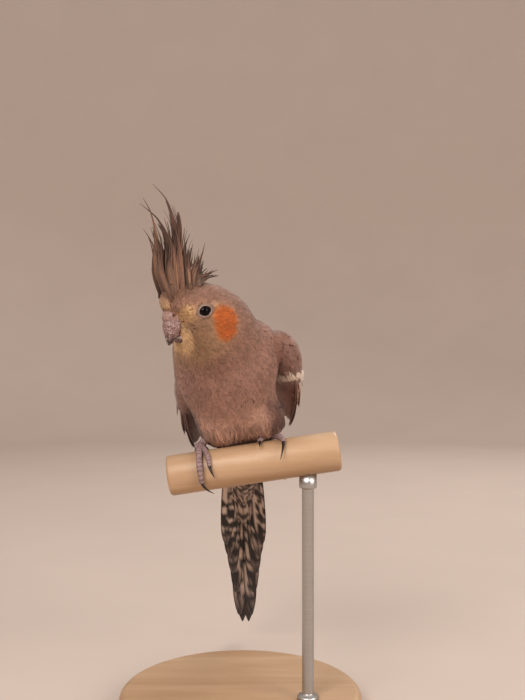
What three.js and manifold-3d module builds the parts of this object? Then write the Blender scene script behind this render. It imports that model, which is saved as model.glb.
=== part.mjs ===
// A life-size cockatiel with its crest raised, perched on a round wooden perch that a plain stand
// holds up. Millimetres, +Z up. The bird's breast faces -Y and its tail hangs away along +Y.
// The origin is on the underside of the stand's base, below the middle of the base.
import * as THREE from "three";
import { mergeVertices } from "three/addons/utils/BufferGeometryUtils.js";
import Module from "manifold-3d";

const wasm = await Module();
wasm.setup();

// Driving dimensions
const DEG = Math.PI / 180;
const GAP = 0.3;
const SMOOTHED = 0.04;
const PERCH = { radius: 10, from: -36, to: 50, tilt: 8.5 * DEG, above: 137 };
const BASE = { radius: 62, thick: 10, edge: 2.5, behind: 14 };
const ROD = { radius: 3, along: 34 };
const TAIL = { slope: 52 * DEG, root: [0.5, 27, -1.6] };
const TRUNK = { yaw: -4 * DEG, roll: -8.5 * DEG };
const HEAD = { centre: [-18, -25.6, 64.5], yaw: -58 * DEG, pitch: 0 * DEG };
const EYE = { back: -4.7, up: 0.8, radius: 3.7, proud: 1.3 };
const LID = { radius: 3.2, thick: 0.75, out: 0.1 };
const CREST = { half: 1.6, thick: 0.7, sunk: 2.4, across: 1.5, spread: 0.4 };
const VANE_THICK = { wing: 0.6, tail: 0.65 };
const SHIN = { low: 1.9, high: 2.4, ankle: 1.6 };
const SOLE = { radius: 2.6, above: 1.9 };
const CLAW = { wide: 0.75, high: 0.85, tip: 0.15, out: 2.2 };

const point = (x, y, z) => new THREE.Vector3(x, y, z);
const lerp = THREE.MathUtils.lerp;

// The value at t of a smooth run of [t, value] knots.
function along(knots, t) {
  const last = knots.length - 1;
  if (t <= knots[0][0]) return knots[0][1];
  if (t >= knots[last][0]) return knots[last][1];
  const i = knots.findIndex((knot) => knot[0] > t) - 1;
  const [before, from, to, after] = [
    knots[Math.max(i - 1, 0)], knots[i], knots[i + 1], knots[Math.min(i + 2, last)]];
  const span = to[0] - from[0];
  const u = (t - from[0]) / span;
  const leave = i > 0 ? (to[1] - before[1]) / (to[0] - before[0]) * span : to[1] - from[1];
  const reach = i + 2 <= last ? (after[1] - from[1]) / (after[0] - from[0]) * span : to[1] - from[1];
  const [u2, u3] = [u * u, u * u * u];
  return (2 * u3 - 3 * u2 + 1) * from[1] + (u3 - 2 * u2 + u) * leave
    + (3 * u2 - 2 * u3) * to[1] + (u3 - u2) * reach;
}

// A small seeded draw from -1 to 1, for the unevenness of feathers.
function unevenness(seed) {
  let state = seed;
  return () => {
    state = (state * 1664525 + 1013904223) % 4294967296;
    return (state / 4294967296) * 2 - 1;
  };
}

// Closed surfaces

// A closed surface over rings of points. A ring of one point is a pole; other end rings get a flat cap.
// Quads whose first column is in turned are split along their other diagonal.
function skinOver(rings, turned = []) {
  const faces = [];
  let first = 0;
  for (let i = 0; i + 1 < rings.length; i++) {
    const [here, there] = [rings[i].length, rings[i + 1].length];
    const next = first + here;
    const columns = Math.max(here, there);
    for (let j = 0; j < columns; j++) {
      const k = (j + 1) % columns;
      if (here === 1) faces.push([first, next + j, next + k]);
      else if (there === 1) faces.push([first + j, next, first + k]);
      else if (turned.includes(j)) {
        faces.push([first + j, next + j, first + k], [next + j, next + k, first + k]);
      } else {
        faces.push([first + j, next + j, next + k], [first + j, next + k, first + k]);
      }
    }
    first = next;
  }
  for (let j = 1; j + 1 < rings[0].length; j++) faces.push([0, j, j + 1]);
  const count = rings[rings.length - 1].length;
  for (let j = 1; j + 1 < count; j++) faces.push([first, first + j + 1, first + j]);
  const points = rings.flat();
  const volume = faces.reduce(
    (sum, [a, b, c]) => sum + points[a].dot(points[b].clone().cross(points[c])), 0);
  if (volume < 0) faces.forEach((face) => face.reverse());
  return new THREE.BufferGeometry().setFromPoints(points).setIndex(faces.flat());
}

// Frames along a path: position, forward, and a normal that starts as near to up as it can.
function framesAlong(points, up) {
  const frames = [];
  let normal = up.clone();
  points.forEach((position, i) => {
    const ahead = points[Math.min(i + 1, points.length - 1)];
    const forward = ahead.clone().sub(points[Math.max(i - 1, 0)]).normalize();
    normal = normal.clone().addScaledVector(forward, -normal.dot(forward)).normalize();
    frames.push({ position, forward, normal, side: forward.clone().cross(normal) });
  });
  return frames;
}

// A round-sectioned body along a path: sizes(t) gives its half-width and half-height.
function limb(points, sizes, up, sides = 10) {
  const rings = framesAlong(points, up).map(({ position, normal, side }, i) => {
    const [wide, high] = sizes(i / (points.length - 1));
    if (wide < 0.02) return [position.clone()];
    return Array.from({ length: sides }, (_, j) => {
      const turn = (j / sides) * 2 * Math.PI;
      return position.clone().addScaledVector(side, wide * Math.cos(turn))
        .addScaledVector(normal, high * Math.sin(turn));
    });
  });
  return skinOver(rings);
}

// A feather's vane: a thin blade on a path, with its outer face along the given normals.
function vane(path, normals, halfWidth, shape, thick) {
  const count = path.length - 1;
  const rings = path.map((position, i) => {
    const forward = path[Math.min(i + 1, count)].clone().sub(path[Math.max(i - 1, 0)]).normalize();
    const side = forward.clone().cross(normals[i]).normalize();
    const face = side.clone().cross(forward).normalize();
    const wide = halfWidth * along(shape, i / count);
    const deep = thick * (i === count ? 0.3 : 0.5);
    return [[-1, 1], [1, 1], [1, -1], [-1, -1]].map(([across, out]) =>
      position.clone().addScaledVector(side, across * wide).addScaledVector(face, out * deep));
  });
  return skinOver(rings, [2]);
}

const ROUND_TIP = [[0, 0.45], [0.2, 0.85], [0.5, 1], [0.8, 0.9], [0.93, 0.6], [1, 0.15]];
const POINTED_TIP = [[0, 0.5], [0.2, 0.9], [0.45, 1], [0.75, 0.72], [0.92, 0.35], [1, 0.08]];
const BLUNT_TIP = [[0, 0.5], [0.2, 0.9], [0.6, 1], [0.9, 0.85], [1, 0.5]];

// Solids

function bareGeometry(geometry) {
  const bare = geometry.clone();
  bare.deleteAttribute("normal");
  bare.deleteAttribute("uv");
  return mergeVertices(bare, 1e-4);
}

function solidOf(geometry, matrix) {
  const bare = bareGeometry(geometry);
  if (matrix) bare.applyMatrix4(matrix);
  return new wasm.Manifold(new wasm.Mesh({
    numProp: 3,
    vertProperties: new Float32Array(bare.attributes.position.array),
    triVerts: new Uint32Array(bare.index.array),
  }));
}

// The same shape with every wall moved out, to cut its neighbour clear of it.
function swollen(geometry, by = GAP) {
  const bare = bareGeometry(geometry);
  bare.computeVertexNormals();
  const { position, normal } = bare.attributes;
  for (let i = 0; i < position.count; i++) {
    position.setXYZ(i, position.getX(i) + normal.getX(i) * by,
      position.getY(i) + normal.getY(i) * by, position.getZ(i) + normal.getZ(i) * by);
  }
  return bare;
}

const joined = (solids) => solids.reduce((whole, next) => whole.add(next));
const largest = (solid) => solid.decompose().reduce((a, b) => (b.volume() > a.volume() ? b : a));

function geometryOf(solid) {
  const mesh = largest(solid.simplify(SMOOTHED)).getMesh();
  const geometry = new THREE.BufferGeometry();
  geometry.setAttribute("position", new THREE.BufferAttribute(mesh.vertProperties, 3));
  geometry.setIndex(new THREE.BufferAttribute(mesh.triVerts, 1));
  return geometry;
}

const FINISH = {
  grey: { color: 0x8a7468, roughness: 0.9 },
  face: { color: 0xa8906a, roughness: 0.9 },
  crest: { color: 0x7d6a55, roughness: 0.85 },
  wing: { color: 0x6d5850, roughness: 0.8 },
  tail: { color: 0x5a4c48, roughness: 0.8 },
  horn: { color: 0x8d7672, roughness: 0.5 },
  cere: { color: 0xb09a96, roughness: 0.7 },
  eye: { color: 0x0a0605, roughness: 0.08 },
  foot: { color: 0xa08a90, roughness: 0.7 },
  claw: { color: 0x2a1d1c, roughness: 0.4 },
  wood: { color: 0xb98e62, roughness: 0.6 },
  steel: { color: 0x9a9a9c, roughness: 0.35, metalness: 0.9 },
};

const model = new THREE.Group();
const bird = new THREE.Group();
bird.position.set(0, -BASE.behind, PERCH.above);
model.add(bird);

function node(group, name, solid, finish) {
  const mesh = new THREE.Mesh(geometryOf(solid), new THREE.MeshStandardMaterial(FINISH[finish]));
  mesh.name = name;
  group.add(mesh);
}

// Coat and flesh: rounded masses that melt into one another

const trunkFrame = new THREE.Matrix4().makeRotationFromEuler(
  new THREE.Euler(0, TRUNK.roll, TRUNK.yaw, "ZYX"));
const headFrame = new THREE.Matrix4().makeRotationFromEuler(
  new THREE.Euler(HEAD.pitch, 0, HEAD.yaw, "ZYX")).setPosition(...HEAD.centre);

// Each mass: its frame, centre, half-lengths (lateral, along, deep) and the slope of its long axis.
const MASSES = [
  { frame: trunkFrame, centre: [-1, -6, 36], half: [24.5, 28, 21.5], slope: 54 },
  { frame: trunkFrame, centre: [-2.2, 9, 20], half: [21.3, 25, 18.5], slope: 44 },
  { frame: trunkFrame, centre: [14, 3, 11], half: [10, 12, 9], slope: 30 },
  { frame: trunkFrame, centre: [-9.8, 2, 11], half: [8.6, 12, 9], slope: 30 },
  { frame: trunkFrame, centre: [16, -2.5, 46.6], half: [10.5, 15, 11.6], slope: 50 },
  { frame: trunkFrame, centre: [-14, -4, 46], half: [10, 15, 12], slope: 50 },
  { frame: trunkFrame, centre: [0, 25, 1], half: [12.5, 23, 10.5], slope: 51 },
  { frame: trunkFrame, centre: [-3, -17, 55], half: [19.2, 18, 17], slope: 60 },
  { frame: headFrame, centre: [0, 2, 1], half: [13, 17.6, 13.8], slope: 2 },
  { frame: headFrame, centre: [2, 9.6, -9.5], half: [13.6, 14, 17], slope: 34 },
  { frame: headFrame, centre: [0, -4, -4], half: [10.5, 8.8, 9.5], slope: 0 },
  { frame: headFrame, centre: [0, -11.7, 6.3], half: [8.2, 8.5, 7], slope: 0 },
].map(({ frame, centre, half, slope }) => ({
  half,
  inverse: frame.clone().multiply(new THREE.Matrix4().makeRotationX(-slope * DEG)
    .setPosition(...centre)).invert(),
}));
const MELT = 8;

function massDistance({ inverse, half }, where) {
  const p = where.clone().applyMatrix4(inverse);
  const near = Math.hypot(p.x / half[0], p.y / half[1], p.z / half[2]);
  const steep = Math.hypot(p.x / half[0] ** 2, p.y / half[1] ** 2, p.z / half[2] ** 2);
  return steep < 1e-9 ? -Math.min(...half) : (near * (near - 1)) / steep;
}

// How far a point is outside the coat; negative inside.
function outside(where) {
  return MASSES.map((mass) => massDistance(mass, where)).reduce((a, b) => {
    const blend = Math.max(MELT - Math.abs(a - b), 0) / MELT;
    return Math.min(a, b) - (blend * blend * MELT) / 4;
  });
}

// The point where a line from inside leaves the coat, which may be moved out by grow.
function surfacePoint(from, direction, grow = 0) {
  const step = 1.5;
  let reach = 0;
  while (outside(from.clone().addScaledVector(direction, reach)) < grow) reach += step;
  let [low, high] = [Math.max(reach - step, 0), reach];
  for (let i = 0; i < 24; i++) {
    const middle = (low + high) / 2;
    if (outside(from.clone().addScaledVector(direction, middle)) < grow) low = middle;
    else high = middle;
  }
  return from.clone().addScaledVector(direction, low);
}

const SPINE = new THREE.CatmullRomCurve3([
  point(1, 33, -3), point(0.5, 20, 10), point(-3, 4, 28), point(-8, -12, 46), point(-14.5, -21, 60),
  point(-18, -24, 67),
]);
const [RINGS, COLUMNS] = [33, 26];

// The whole coat from rump to crown, as rings of points on its surface.
function coatGeometry(grow = 0) {
  const ends = [0, 1].map((t) => {
    const out = SPINE.getTangentAt(t).multiplyScalar(t ? 1 : -1);
    return surfacePoint(SPINE.getPointAt(t), out, grow);
  });
  const rings = [[ends[0]]];
  for (let i = 1; i < RINGS; i++) {
    const t = (1 - Math.cos((i / RINGS) * Math.PI)) / 2;
    const forward = SPINE.getTangentAt(t);
    const side = point(1, 0, 0).addScaledVector(forward, -forward.x).normalize();
    const dorsal = side.clone().cross(forward);
    const reach = Math.min(t * 3, (1 - t) * 3, 1);
    const lean = (1 - Math.sqrt(reach)) * (t < 0.5 ? -1 : 1);
    rings.push(Array.from({ length: COLUMNS }, (_, j) => {
      const turn = (j / COLUMNS) * 2 * Math.PI;
      const ray = side.clone().multiplyScalar(Math.cos(turn))
        .addScaledVector(dorsal, Math.sin(turn)).multiplyScalar(Math.cos(lean * 90 * DEG))
        .addScaledVector(forward, Math.sin(lean * 90 * DEG));
      return surfacePoint(SPINE.getPointAt(t), ray.normalize(), grow);
    }));
  }
  rings.push([ends[1]]);
  return skinOver(rings);
}

const coat = solidOf(coatGeometry());
const grownCoat = solidOf(coatGeometry(GAP));

// A plane that parts the coat: the part ahead of it, the part behind it, with a gap between.
function parted(solid, through, facing) {
  const normal = facing.clone().normalize();
  const offset = normal.dot(through);
  return [
    solid.trimByPlane(normal.toArray(), offset + GAP / 2),
    solid.trimByPlane(normal.clone().negate().toArray(), -offset + GAP / 2),
  ];
}

const inHead = (x, y, z) => point(x, y, z).applyMatrix4(headFrame);
const inTrunk = (x, y, z) => point(x, y, z).applyMatrix4(trunkFrame);
const headWay = (x, y, z) => point(x, y, z).transformDirection(headFrame);
const trunkWay = (x, y, z) => point(x, y, z).transformDirection(trunkFrame);

const [headPart, belowHead] = parted(coat, inHead(0, 4, -12.5), headWay(0, -0.45, 0.9));
const [neckPart, trunkPart] = parted(belowHead, inTrunk(0, -12, 47), trunkWay(0, -0.62, 0.78));

// Bill, cere and eyes

const BILL_LINE = [[-7, -3], [-11.6, -3.4], [-14.2, -5.6], [-15.1, -8.8], [-15.8, -11.8], [-16.6, -14.9]];
const LOWER_LINE = [[-4, -9], [-8.5, -10.6], [-11.8, -11.2], [-13.8, -9.8]];
const CERE = { centre: [0, -14.4, -1.3], half: [5.9, 5.4, 3.4] };
const NOSTRIL = { centre: [5.3, -16.4, -1.1], radius: 0.95 };
const inProfile = (line) => new THREE.CatmullRomCurve3(line.map(([y, z]) => inHead(0, y, z)));
const inHeadFrame = (centre, half) => headFrame.clone().multiply(
  new THREE.Matrix4().makeScale(...half).setPosition(...centre));

const billGeometry = limb(inProfile(BILL_LINE).getPoints(12), (t) => [
  along([[0, 5], [0.35, 5.5], [0.6, 4.3], [0.85, 2], [1, 0.35]], t),
  along([[0, 4], [0.35, 5.1], [0.6, 4.2], [0.85, 2.1], [1, 0.35]], t),
], headWay(0, 0, 1), 12);
const lowerGeometry = limb(inProfile(LOWER_LINE).getPoints(7), (t) => [
  along([[0, 3.4], [0.5, 3.5], [0.85, 2.6], [1, 1.4]], t),
  along([[0, 2.4], [0.5, 2.3], [0.85, 1.7], [1, 0.8]], t),
], headWay(0, 0, 1), 10);
const cereGeometry = new THREE.SphereGeometry(1, 12, 8);

const bill = solidOf(billGeometry);
const grownBill = solidOf(swollen(billGeometry));
const lowerBill = solidOf(lowerGeometry).subtract(grownBill);
const nostrils = joined([-1, 1].map((side) => {
  const [x, y, z] = NOSTRIL.centre;
  return solidOf(new THREE.SphereGeometry(NOSTRIL.radius, 8, 6),
    new THREE.Matrix4().setPosition(inHead(side * x, y, z)));
}));
const cere = solidOf(cereGeometry, inHeadFrame(CERE.centre, CERE.half))
  .subtract(grownBill).subtract(nostrils);
const grownCere = solidOf(cereGeometry, inHeadFrame(CERE.centre, CERE.half.map((size) => size + GAP)));
const grownFace = joined([grownBill, solidOf(swollen(lowerGeometry)), grownCere]);

// An eye on each side: the ball stands a little out of the face, inside a ring of lid.
const eyes = [1, -1].map((side) => {
  const out = headWay(side, -0.28, 0.03);
  const face = surfacePoint(inHead(0, EYE.back, EYE.up), headWay(side, 0, 0));
  const centre = face.clone().addScaledVector(out, EYE.proud - EYE.radius);
  const turn = new THREE.Matrix4().makeRotationFromQuaternion(
    new THREE.Quaternion().setFromUnitVectors(point(0, 0, 1), out));
  const ball = (radius) => solidOf(new THREE.SphereGeometry(radius, 14, 8),
    new THREE.Matrix4().setPosition(centre));
  const lidPlace = face.clone().addScaledVector(out, LID.out);
  return {
    name: side > 0 ? "eye_left" : "eye_right",
    ball: ball(EYE.radius),
    socket: ball(EYE.radius + GAP),
    lid: solidOf(new THREE.TorusGeometry(LID.radius, LID.thick, 5, 16),
      turn.clone().setPosition(lidPlace)),
  };
});

// Crest: narrow feathers raised in a fan on the forehead and crown; the longest curl forward

const CREST_PAD = { centre: [0, -8.8, 10.2], half: [7.2, 13.2, 7.2] };
// Five places on each feather from root to tip, as forward and upward distances in the head's own frame.
const CREST_FEATHERS = [
  [[19, 9.6], [22.4, 18], [23, 26], [25.6, 32.9], [29.5, 38.1]],
  [[18.9, 9.4], [22.6, 22], [22.8, 34], [25.7, 45.8], [29.6, 52.2]],
  [[18.2, 10], [20, 19], [19.8, 28], [21, 35], [23.6, 41]],
  [[17.4, 10.6], [17.8, 22], [16.8, 32.5], [22, 42.8], [31.1, 49.5]],
  [[16.4, 11], [15.6, 20], [15.4, 29], [16.6, 37], [19, 44]],
  [[15.4, 11.4], [13, 26], [13.9, 41], [18, 52.5], [24.7, 58.9]],
  [[14.2, 12], [12.6, 22], [12.2, 33], [12.9, 42], [15, 50]],
  [[13, 12.4], [11.6, 22], [11.2, 31], [11, 39], [11.8, 47.2]],
  [[11.6, 12.8], [9.4, 21], [8.6, 28], [7.4, 33.4], [5.6, 37.5]],
  [[10.2, 13], [7.8, 18.5], [6.2, 24], [5, 29], [4, 33]],
  [[8.6, 13], [4.6, 17.5], [1.4, 22.5], [-0.9, 28.2], [-2.5, 34]],
  [[7, 13], [3.6, 16], [1, 19], [-0.6, 22], [-1.9, 25]],
  [[5.6, 13], [1.8, 16], [-1.8, 18], [-5.7, 19.8], [-9.5, 21.4]],
  [[4.4, 13], [0.6, 15.6], [-2.6, 17.2], [-6, 18], [-9.6, 18.4]],
];

const padOfCrest = (grow) => solidOf(new THREE.SphereGeometry(1, 16, 9),
  inHeadFrame(CREST_PAD.centre, CREST_PAD.half.map((size) => size + grow)));

function crestFeather(knots, across, draw) {
  const sway = [0, 0.2 * draw(), 0.4 * draw(), 0.8 * draw(), 1.3 * draw()];
  const curve = new THREE.CatmullRomCurve3(knots.map(([forward, up], i) =>
    inHead(across * (CREST.across + CREST.spread * i) + sway[i], -forward, i ? up : up - CREST.sunk)));
  const path = curve.getPoints(7);
  const normals = path.map(() => headWay(1, 0.25 * across, 0));
  return vane(path, normals, CREST.half, POINTED_TIP, CREST.thick);
}

function crest() {
  const draw = unevenness(11);
  const feathers = CREST_FEATHERS.map((knots, i) => {
    const across = ((i * 2) % 5) / 2 - 1;
    return solidOf(crestFeather(knots, across, draw));
  });
  return joined([coat.intersect(padOfCrest(0)), ...feathers]);
}

const crestSolid = crest();
const head = joined([headPart, ...eyes.map((eye) => eye.lid)])
  .subtract(joined([grownFace, padOfCrest(GAP), ...eyes.map((eye) => eye.socket)]));

// Wings: a pad that wraps the flank, shingled with rows of vanes

const WINGS = [
  { name: "wing_left", side: 1, front: [29, -9, 51.5], tip: [21, 66, 6], seed: 21 },
  { name: "wing_right", side: -1, front: [-18, -7, 44], tip: [-29.5, 68, 2], seed: 22 },
];
const WING_HALF = [[0, 3.5], [0.06, 9], [0.2, 13], [0.45, 14.5], [0.75, 10.5], [1, 5]];
const WING_THICK = [[0, 2], [0.06, 4.4], [0.2, 6], [0.45, 4.8], [0.75, 2.8], [1, 1.4]];

// Places on a wing: s runs from its front to its tip, t from its belly edge (-1) to its back edge (1).
function wingPlaces({ side, front, tip }) {
  const [start, end] = [inTrunk(...front), inTrunk(...tip)];
  const way = end.clone().sub(start);
  const length = way.length();
  way.normalize();
  const dorsal = trunkWay(-0.42 * side, 0.15, 0.9);
  dorsal.addScaledVector(way, -dorsal.dot(way)).normalize();
  const out = way.clone().cross(dorsal).multiplyScalar(-side).normalize();
  if (out.dot(trunkWay(side, 0, 0)) < 0) out.negate();
  return (s, t, lift = 0) => {
    const turn = t * 82 * DEG;
    const [half, thick] = [along(WING_HALF, s), along(WING_THICK, s)];
    const normal = out.clone().multiplyScalar(Math.cos(turn) * half)
      .addScaledVector(dorsal, Math.sin(turn) * thick).normalize();
    const place = start.clone().addScaledVector(way, s * length)
      .addScaledVector(dorsal, Math.sin(turn) * half)
      .addScaledVector(out, Math.cos(turn) * thick - 2.5 * t * t)
      .addScaledVector(normal, lift);
    return { place, normal, out, way };
  };
}

function wingPad(places) {
  const rings = [[places(-0.01, 0, -1.2).place]];
  for (const s of [0.01, 0.06, 0.14, 0.26, 0.4, 0.55, 0.7, 0.84]) {
    const outer = Array.from({ length: 7 }, (_, j) => places(s, lerp(-1, 1, j / 6)));
    const inner = outer.slice(1, -1).reverse().map(({ place, out }, j) => place.clone()
      .addScaledVector(out, -1.4 - 1.7 * along(WING_THICK, s) * Math.sin((j + 1) / 6 * Math.PI)));
    rings.push([...outer.map(({ place }) => place), ...inner]);
  }
  return solidOf(skinOver(rings));
}

// Rows of a wing's feathers: where the first and last are rooted and end, in (s, t), and their looks.
const WING_ROWS = [
  { count: 8, roots: [[0.3, -0.72], [0.42, -0.2]], tips: [[0.96, -0.95], [1.03, 0.1]],
    half: 3.6, shape: BLUNT_TIP, lift: 0.15 },
  { count: 7, roots: [[0.5, -0.15], [0.5, 0.7]], tips: [[1.0, 0.15], [0.86, 0.95]],
    half: 4.2, shape: ROUND_TIP, lift: 0.5 },
  { count: 6, roots: [[0.16, -0.8], [0.36, 0.75]], tips: [[0.62, -0.85], [0.72, 0.85]],
    half: 4.4, shape: ROUND_TIP, lift: 0.8 },
  { count: 5, roots: [[0.08, -0.7], [0.22, 0.7]], tips: [[0.4, -0.8], [0.5, 0.8]],
    half: 4.8, shape: ROUND_TIP, lift: 1.1 },
];

// A feather starts under the skin, rises towards its tip, and lies a little over the one before.
const [ROOT_LIFT, LIFT_RUN, STAGGER] = [-0.9, 1.3, 0.05];

function wingFeathers(places, { count, roots, tips, half, shape, lift }, draw) {
  return Array.from({ length: count }, (_, i) => {
    const u = i / (count - 1);
    const from = [lerp(roots[0][0], roots[1][0], u), lerp(roots[0][1], roots[1][1], u)];
    const to = [lerp(tips[0][0], tips[1][0], u) + 0.012 * draw(), lerp(tips[0][1], tips[1][1], u)];
    const steps = [0, 0.35, 0.75, 1].map((v) =>
      places(lerp(from[0], to[0], v), lerp(from[1], to[1], v),
        ROOT_LIFT + (lift + LIFT_RUN) * v + STAGGER * (i % 2)));
    return solidOf(vane(steps.map((step) => step.place), steps.map((step) => step.normal),
      half, shape, VANE_THICK.wing));
  });
}

function wing(spec) {
  const places = wingPlaces(spec);
  const draw = unevenness(spec.seed);
  const feathers = WING_ROWS.flatMap((row) => wingFeathers(places, row, draw));
  return joined([wingPad(places), ...feathers]).subtract(grownCoat);
}

// Tail: graduated feathers in a stack, the middle pair longest and on top, with coverts over its root

const TAIL_LENGTHS = [158, 150, 126, 106, 90, 78];
const tailWay = point(0, Math.cos(TAIL.slope), -Math.sin(TAIL.slope));
const tailTop = point(0, Math.sin(TAIL.slope), Math.cos(TAIL.slope));
const tailSide = point(1, 0, 0);
const inTail = (x, y, z) => point(...TAIL.root).addScaledVector(tailSide, x)
  .addScaledVector(tailWay, y).addScaledVector(tailTop, z);

function tailVane(x, from, to, height, drop, half, tilt, shape) {
  const steps = [0, 0.4, 0.82, 1];
  const path = steps.map((v) => inTail(x * (0.75 + 0.4 * v), lerp(from, to, v), height - drop * v));
  const normal = tailTop.clone().multiplyScalar(Math.cos(tilt)).addScaledVector(tailSide, Math.sin(tilt));
  return solidOf(vane(path, path.map(() => normal), half, shape, VANE_THICK.tail));
}

function tail() {
  const core = limb([0, 10, 22, 34, 46, 56].map((y) => inTail(0, y, -1)), (t) => [
    along([[0, 8.5], [0.3, 10], [0.7, 7.5], [0.95, 4], [1, 3]], t),
    along([[0, 6], [0.3, 6.2], [0.7, 3.6], [0.95, 1.3], [1, 0.8]], t),
  ], tailTop, 12);
  const rectrices = TAIL_LENGTHS.flatMap((length, i) => [1, -1].map((side) =>
    tailVane(side * (1.7 + 1.45 * i), 12, length, 2.2 - 0.95 * i, 1.5, 4.6 - 0.12 * i,
      side * (7 + 2 * i) * DEG, i ? ROUND_TIP : POINTED_TIP)));
  const above = [-1, 0, 1].flatMap((across) => [
    tailVane(across * 5, 3, 44 - 5 * Math.abs(across), 6.4, 3.6, 4.6, across * 22 * DEG, ROUND_TIP),
    tailVane(across * 6, 0, 27 - 3 * Math.abs(across), 7.2, 2.2, 4.8, across * 28 * DEG, ROUND_TIP)]);
  const below = [-1, 0, 1].map((across) =>
    tailVane(across * 5, 5, 62 - 7 * Math.abs(across), -6.6, -3.4, 5, -across * 20 * DEG, ROUND_TIP));
  return joined([solidOf(core), ...rectrices, ...above, ...below]).subtract(grownCoat);
}

// Legs and feet: two toes forward and two back, gripping the perch

const perchWay = point(Math.cos(PERCH.tilt), 0, Math.sin(PERCH.tilt));
const perchTop = point(-Math.sin(PERCH.tilt), 0, Math.cos(PERCH.tilt));
const perchFront = point(0, -1, 0);
const perchCentre = point(0, 0, -PERCH.radius / Math.cos(PERCH.tilt));

// A point round the perch: its distance along it, the angle from the top towards the front, the radius.
function roundPerch(distance, angle, radius) {
  return perchCentre.clone().addScaledVector(perchWay, distance)
    .addScaledVector(perchTop, radius * Math.cos(angle * DEG))
    .addScaledVector(perchFront, radius * Math.sin(angle * DEG));
}

// Each foot: where it sits on the perch, and for each toe where it ends and its claw's tip.
const FEET = [
  { side: "right", at: [-18.6, -4], shin: [-15, 7, 14], toes: [
    { to: [-14.3, 76], claw: [-12.4, 101], thick: 1.35 },
    { to: [-19.2, 114], claw: [-14.2, 141], thick: 1.5 },
    { to: [-14.8, -84], claw: [-13.6, -114], thick: 1.3 },
    { to: [-22.5, -106], claw: [-23, -136], thick: 1.4 }] },
  { side: "left", at: [15.6, -22], shin: [14, 9, 16], toes: [
    { to: [11.6, 26], claw: [11.2, 50], thick: 1.35 },
    { to: [23.2, 40], claw: [20.4, 84], thick: 1.45 },
    { to: [12.6, -96], claw: [11.6, -126], thick: 1.3 },
    { to: [20.6, -118], claw: [21.4, -148], thick: 1.4 }] },
];

function toeGeometry(foot, { to, thick }) {
  const steps = 7;
  const path = Array.from({ length: steps + 1 }, (_, i) => {
    const v = i / steps;
    const spread = 1 - (1 - v) * (1 - v);
    return roundPerch(lerp(foot.at[0], to[0], spread), lerp(foot.at[1], to[1], v),
      PERCH.radius + GAP + thick);
  });
  const size = (t) => thick * (1 + 0.07 * Math.cos(t * 6 * Math.PI)) * (1 - 0.22 * t * t)
    * (t > 0.99 ? 0.75 : 1);
  return limb(path, (t) => [size(t), size(t)], perchWay, 8);
}

function clawGeometry({ to, claw, thick }) {
  const steps = 5;
  const path = Array.from({ length: steps + 1 }, (_, i) => {
    const v = i / steps;
    return roundPerch(lerp(to[0], claw[0], v), lerp(to[1] - Math.sign(to[1]) * 3, claw[1], v),
      PERCH.radius + GAP + thick * 0.95 + CLAW.out * v * v + 0.4 * Math.sin(v * Math.PI));
  });
  return limb(path, (t) => [CLAW.wide * (1 - t) + CLAW.tip, CLAW.high * (1 - t) + CLAW.tip], perchWay, 6);
}

function shinGeometry({ at: [distance, angle], shin }) {
  const ankle = roundPerch(distance, angle, PERCH.radius + GAP + SHIN.ankle);
  const top = inTrunk(...shin);
  const path = [0, 0.3, 0.65, 1].map((v) => ankle.clone().lerp(top, v));
  const size = (t) => lerp(SHIN.low, SHIN.high, t);
  return limb(path, (t) => [size(t), size(t)], point(0, -1, 0), 8);
}

const grownPerch = solidOf(limb(
  [-60, 60].map((distance) => roundPerch(distance, 0, 0)), () => [PERCH.radius + GAP, PERCH.radius + GAP],
  perchTop, 32));

function legs() {
  FEET.forEach((foot) => {
    const claws = foot.toes.map((toe) => clawGeometry(toe));
    const toes = joined(foot.toes.map((toe) => solidOf(toeGeometry(foot, toe))));
    const sole = solidOf(new THREE.SphereGeometry(SOLE.radius, 10, 7), new THREE.Matrix4()
      .setPosition(roundPerch(...foot.at, PERCH.radius + GAP + SOLE.above)));
    const grownClaws = joined(claws.map((claw) => solidOf(swollen(claw))));
    const shin = solidOf(shinGeometry(foot));
    const footSolid = joined([toes, sole, shin]).subtract(grownPerch).subtract(grownClaws)
      .subtract(grownCoat);
    node(bird, "foot_" + foot.side, footSolid, "foot");
    claws.forEach((claw, i) =>
      node(bird, "claw_" + foot.side + "_" + (i + 1), solidOf(claw).subtract(grownPerch), "claw"));
  });
}

// Perch and stand

function stand() {
  const perch = limb([PERCH.from, PERCH.from + 0.8, PERCH.to - 0.8, PERCH.to].map((distance) =>
    roundPerch(distance, 0, 0)), (t) => {
    const size = PERCH.radius - (t % 1 === 0 ? 0.8 : 0);
    return [size, size];
  }, perchTop, 32);
  node(bird, "stand_perch", solidOf(perch), "wood");
  const foot = BASE.thick + GAP;
  const length = PERCH.above - foot;
  const rod = new THREE.CylinderGeometry(ROD.radius, ROD.radius, length, 24).rotateX(90 * DEG);
  rod.translate(ROD.along, -BASE.behind, foot + length / 2);
  const intoModel = new THREE.Matrix4().setPosition(0, -BASE.behind, PERCH.above);
  node(model, "stand_rod", largest(solidOf(rod).subtract(grownPerch.transform(intoModel.toArray()))
    .trimByPlane([0, 0, -1], -(PERCH.above - PERCH.radius))), "steel");
  const { radius, thick, edge } = BASE;
  const profile = [[0, 0], [radius - 0.8, 0], [radius, 0.8], [radius, thick - edge],
    [radius - edge * 0.3, thick - edge * 0.3], [radius - edge, thick], [0, thick]];
  const base = new THREE.LatheGeometry(profile.map(([x, y]) => new THREE.Vector2(x, y)), 40);
  node(model, "stand_base", solidOf(base.rotateX(90 * DEG)), "wood");
}

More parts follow.
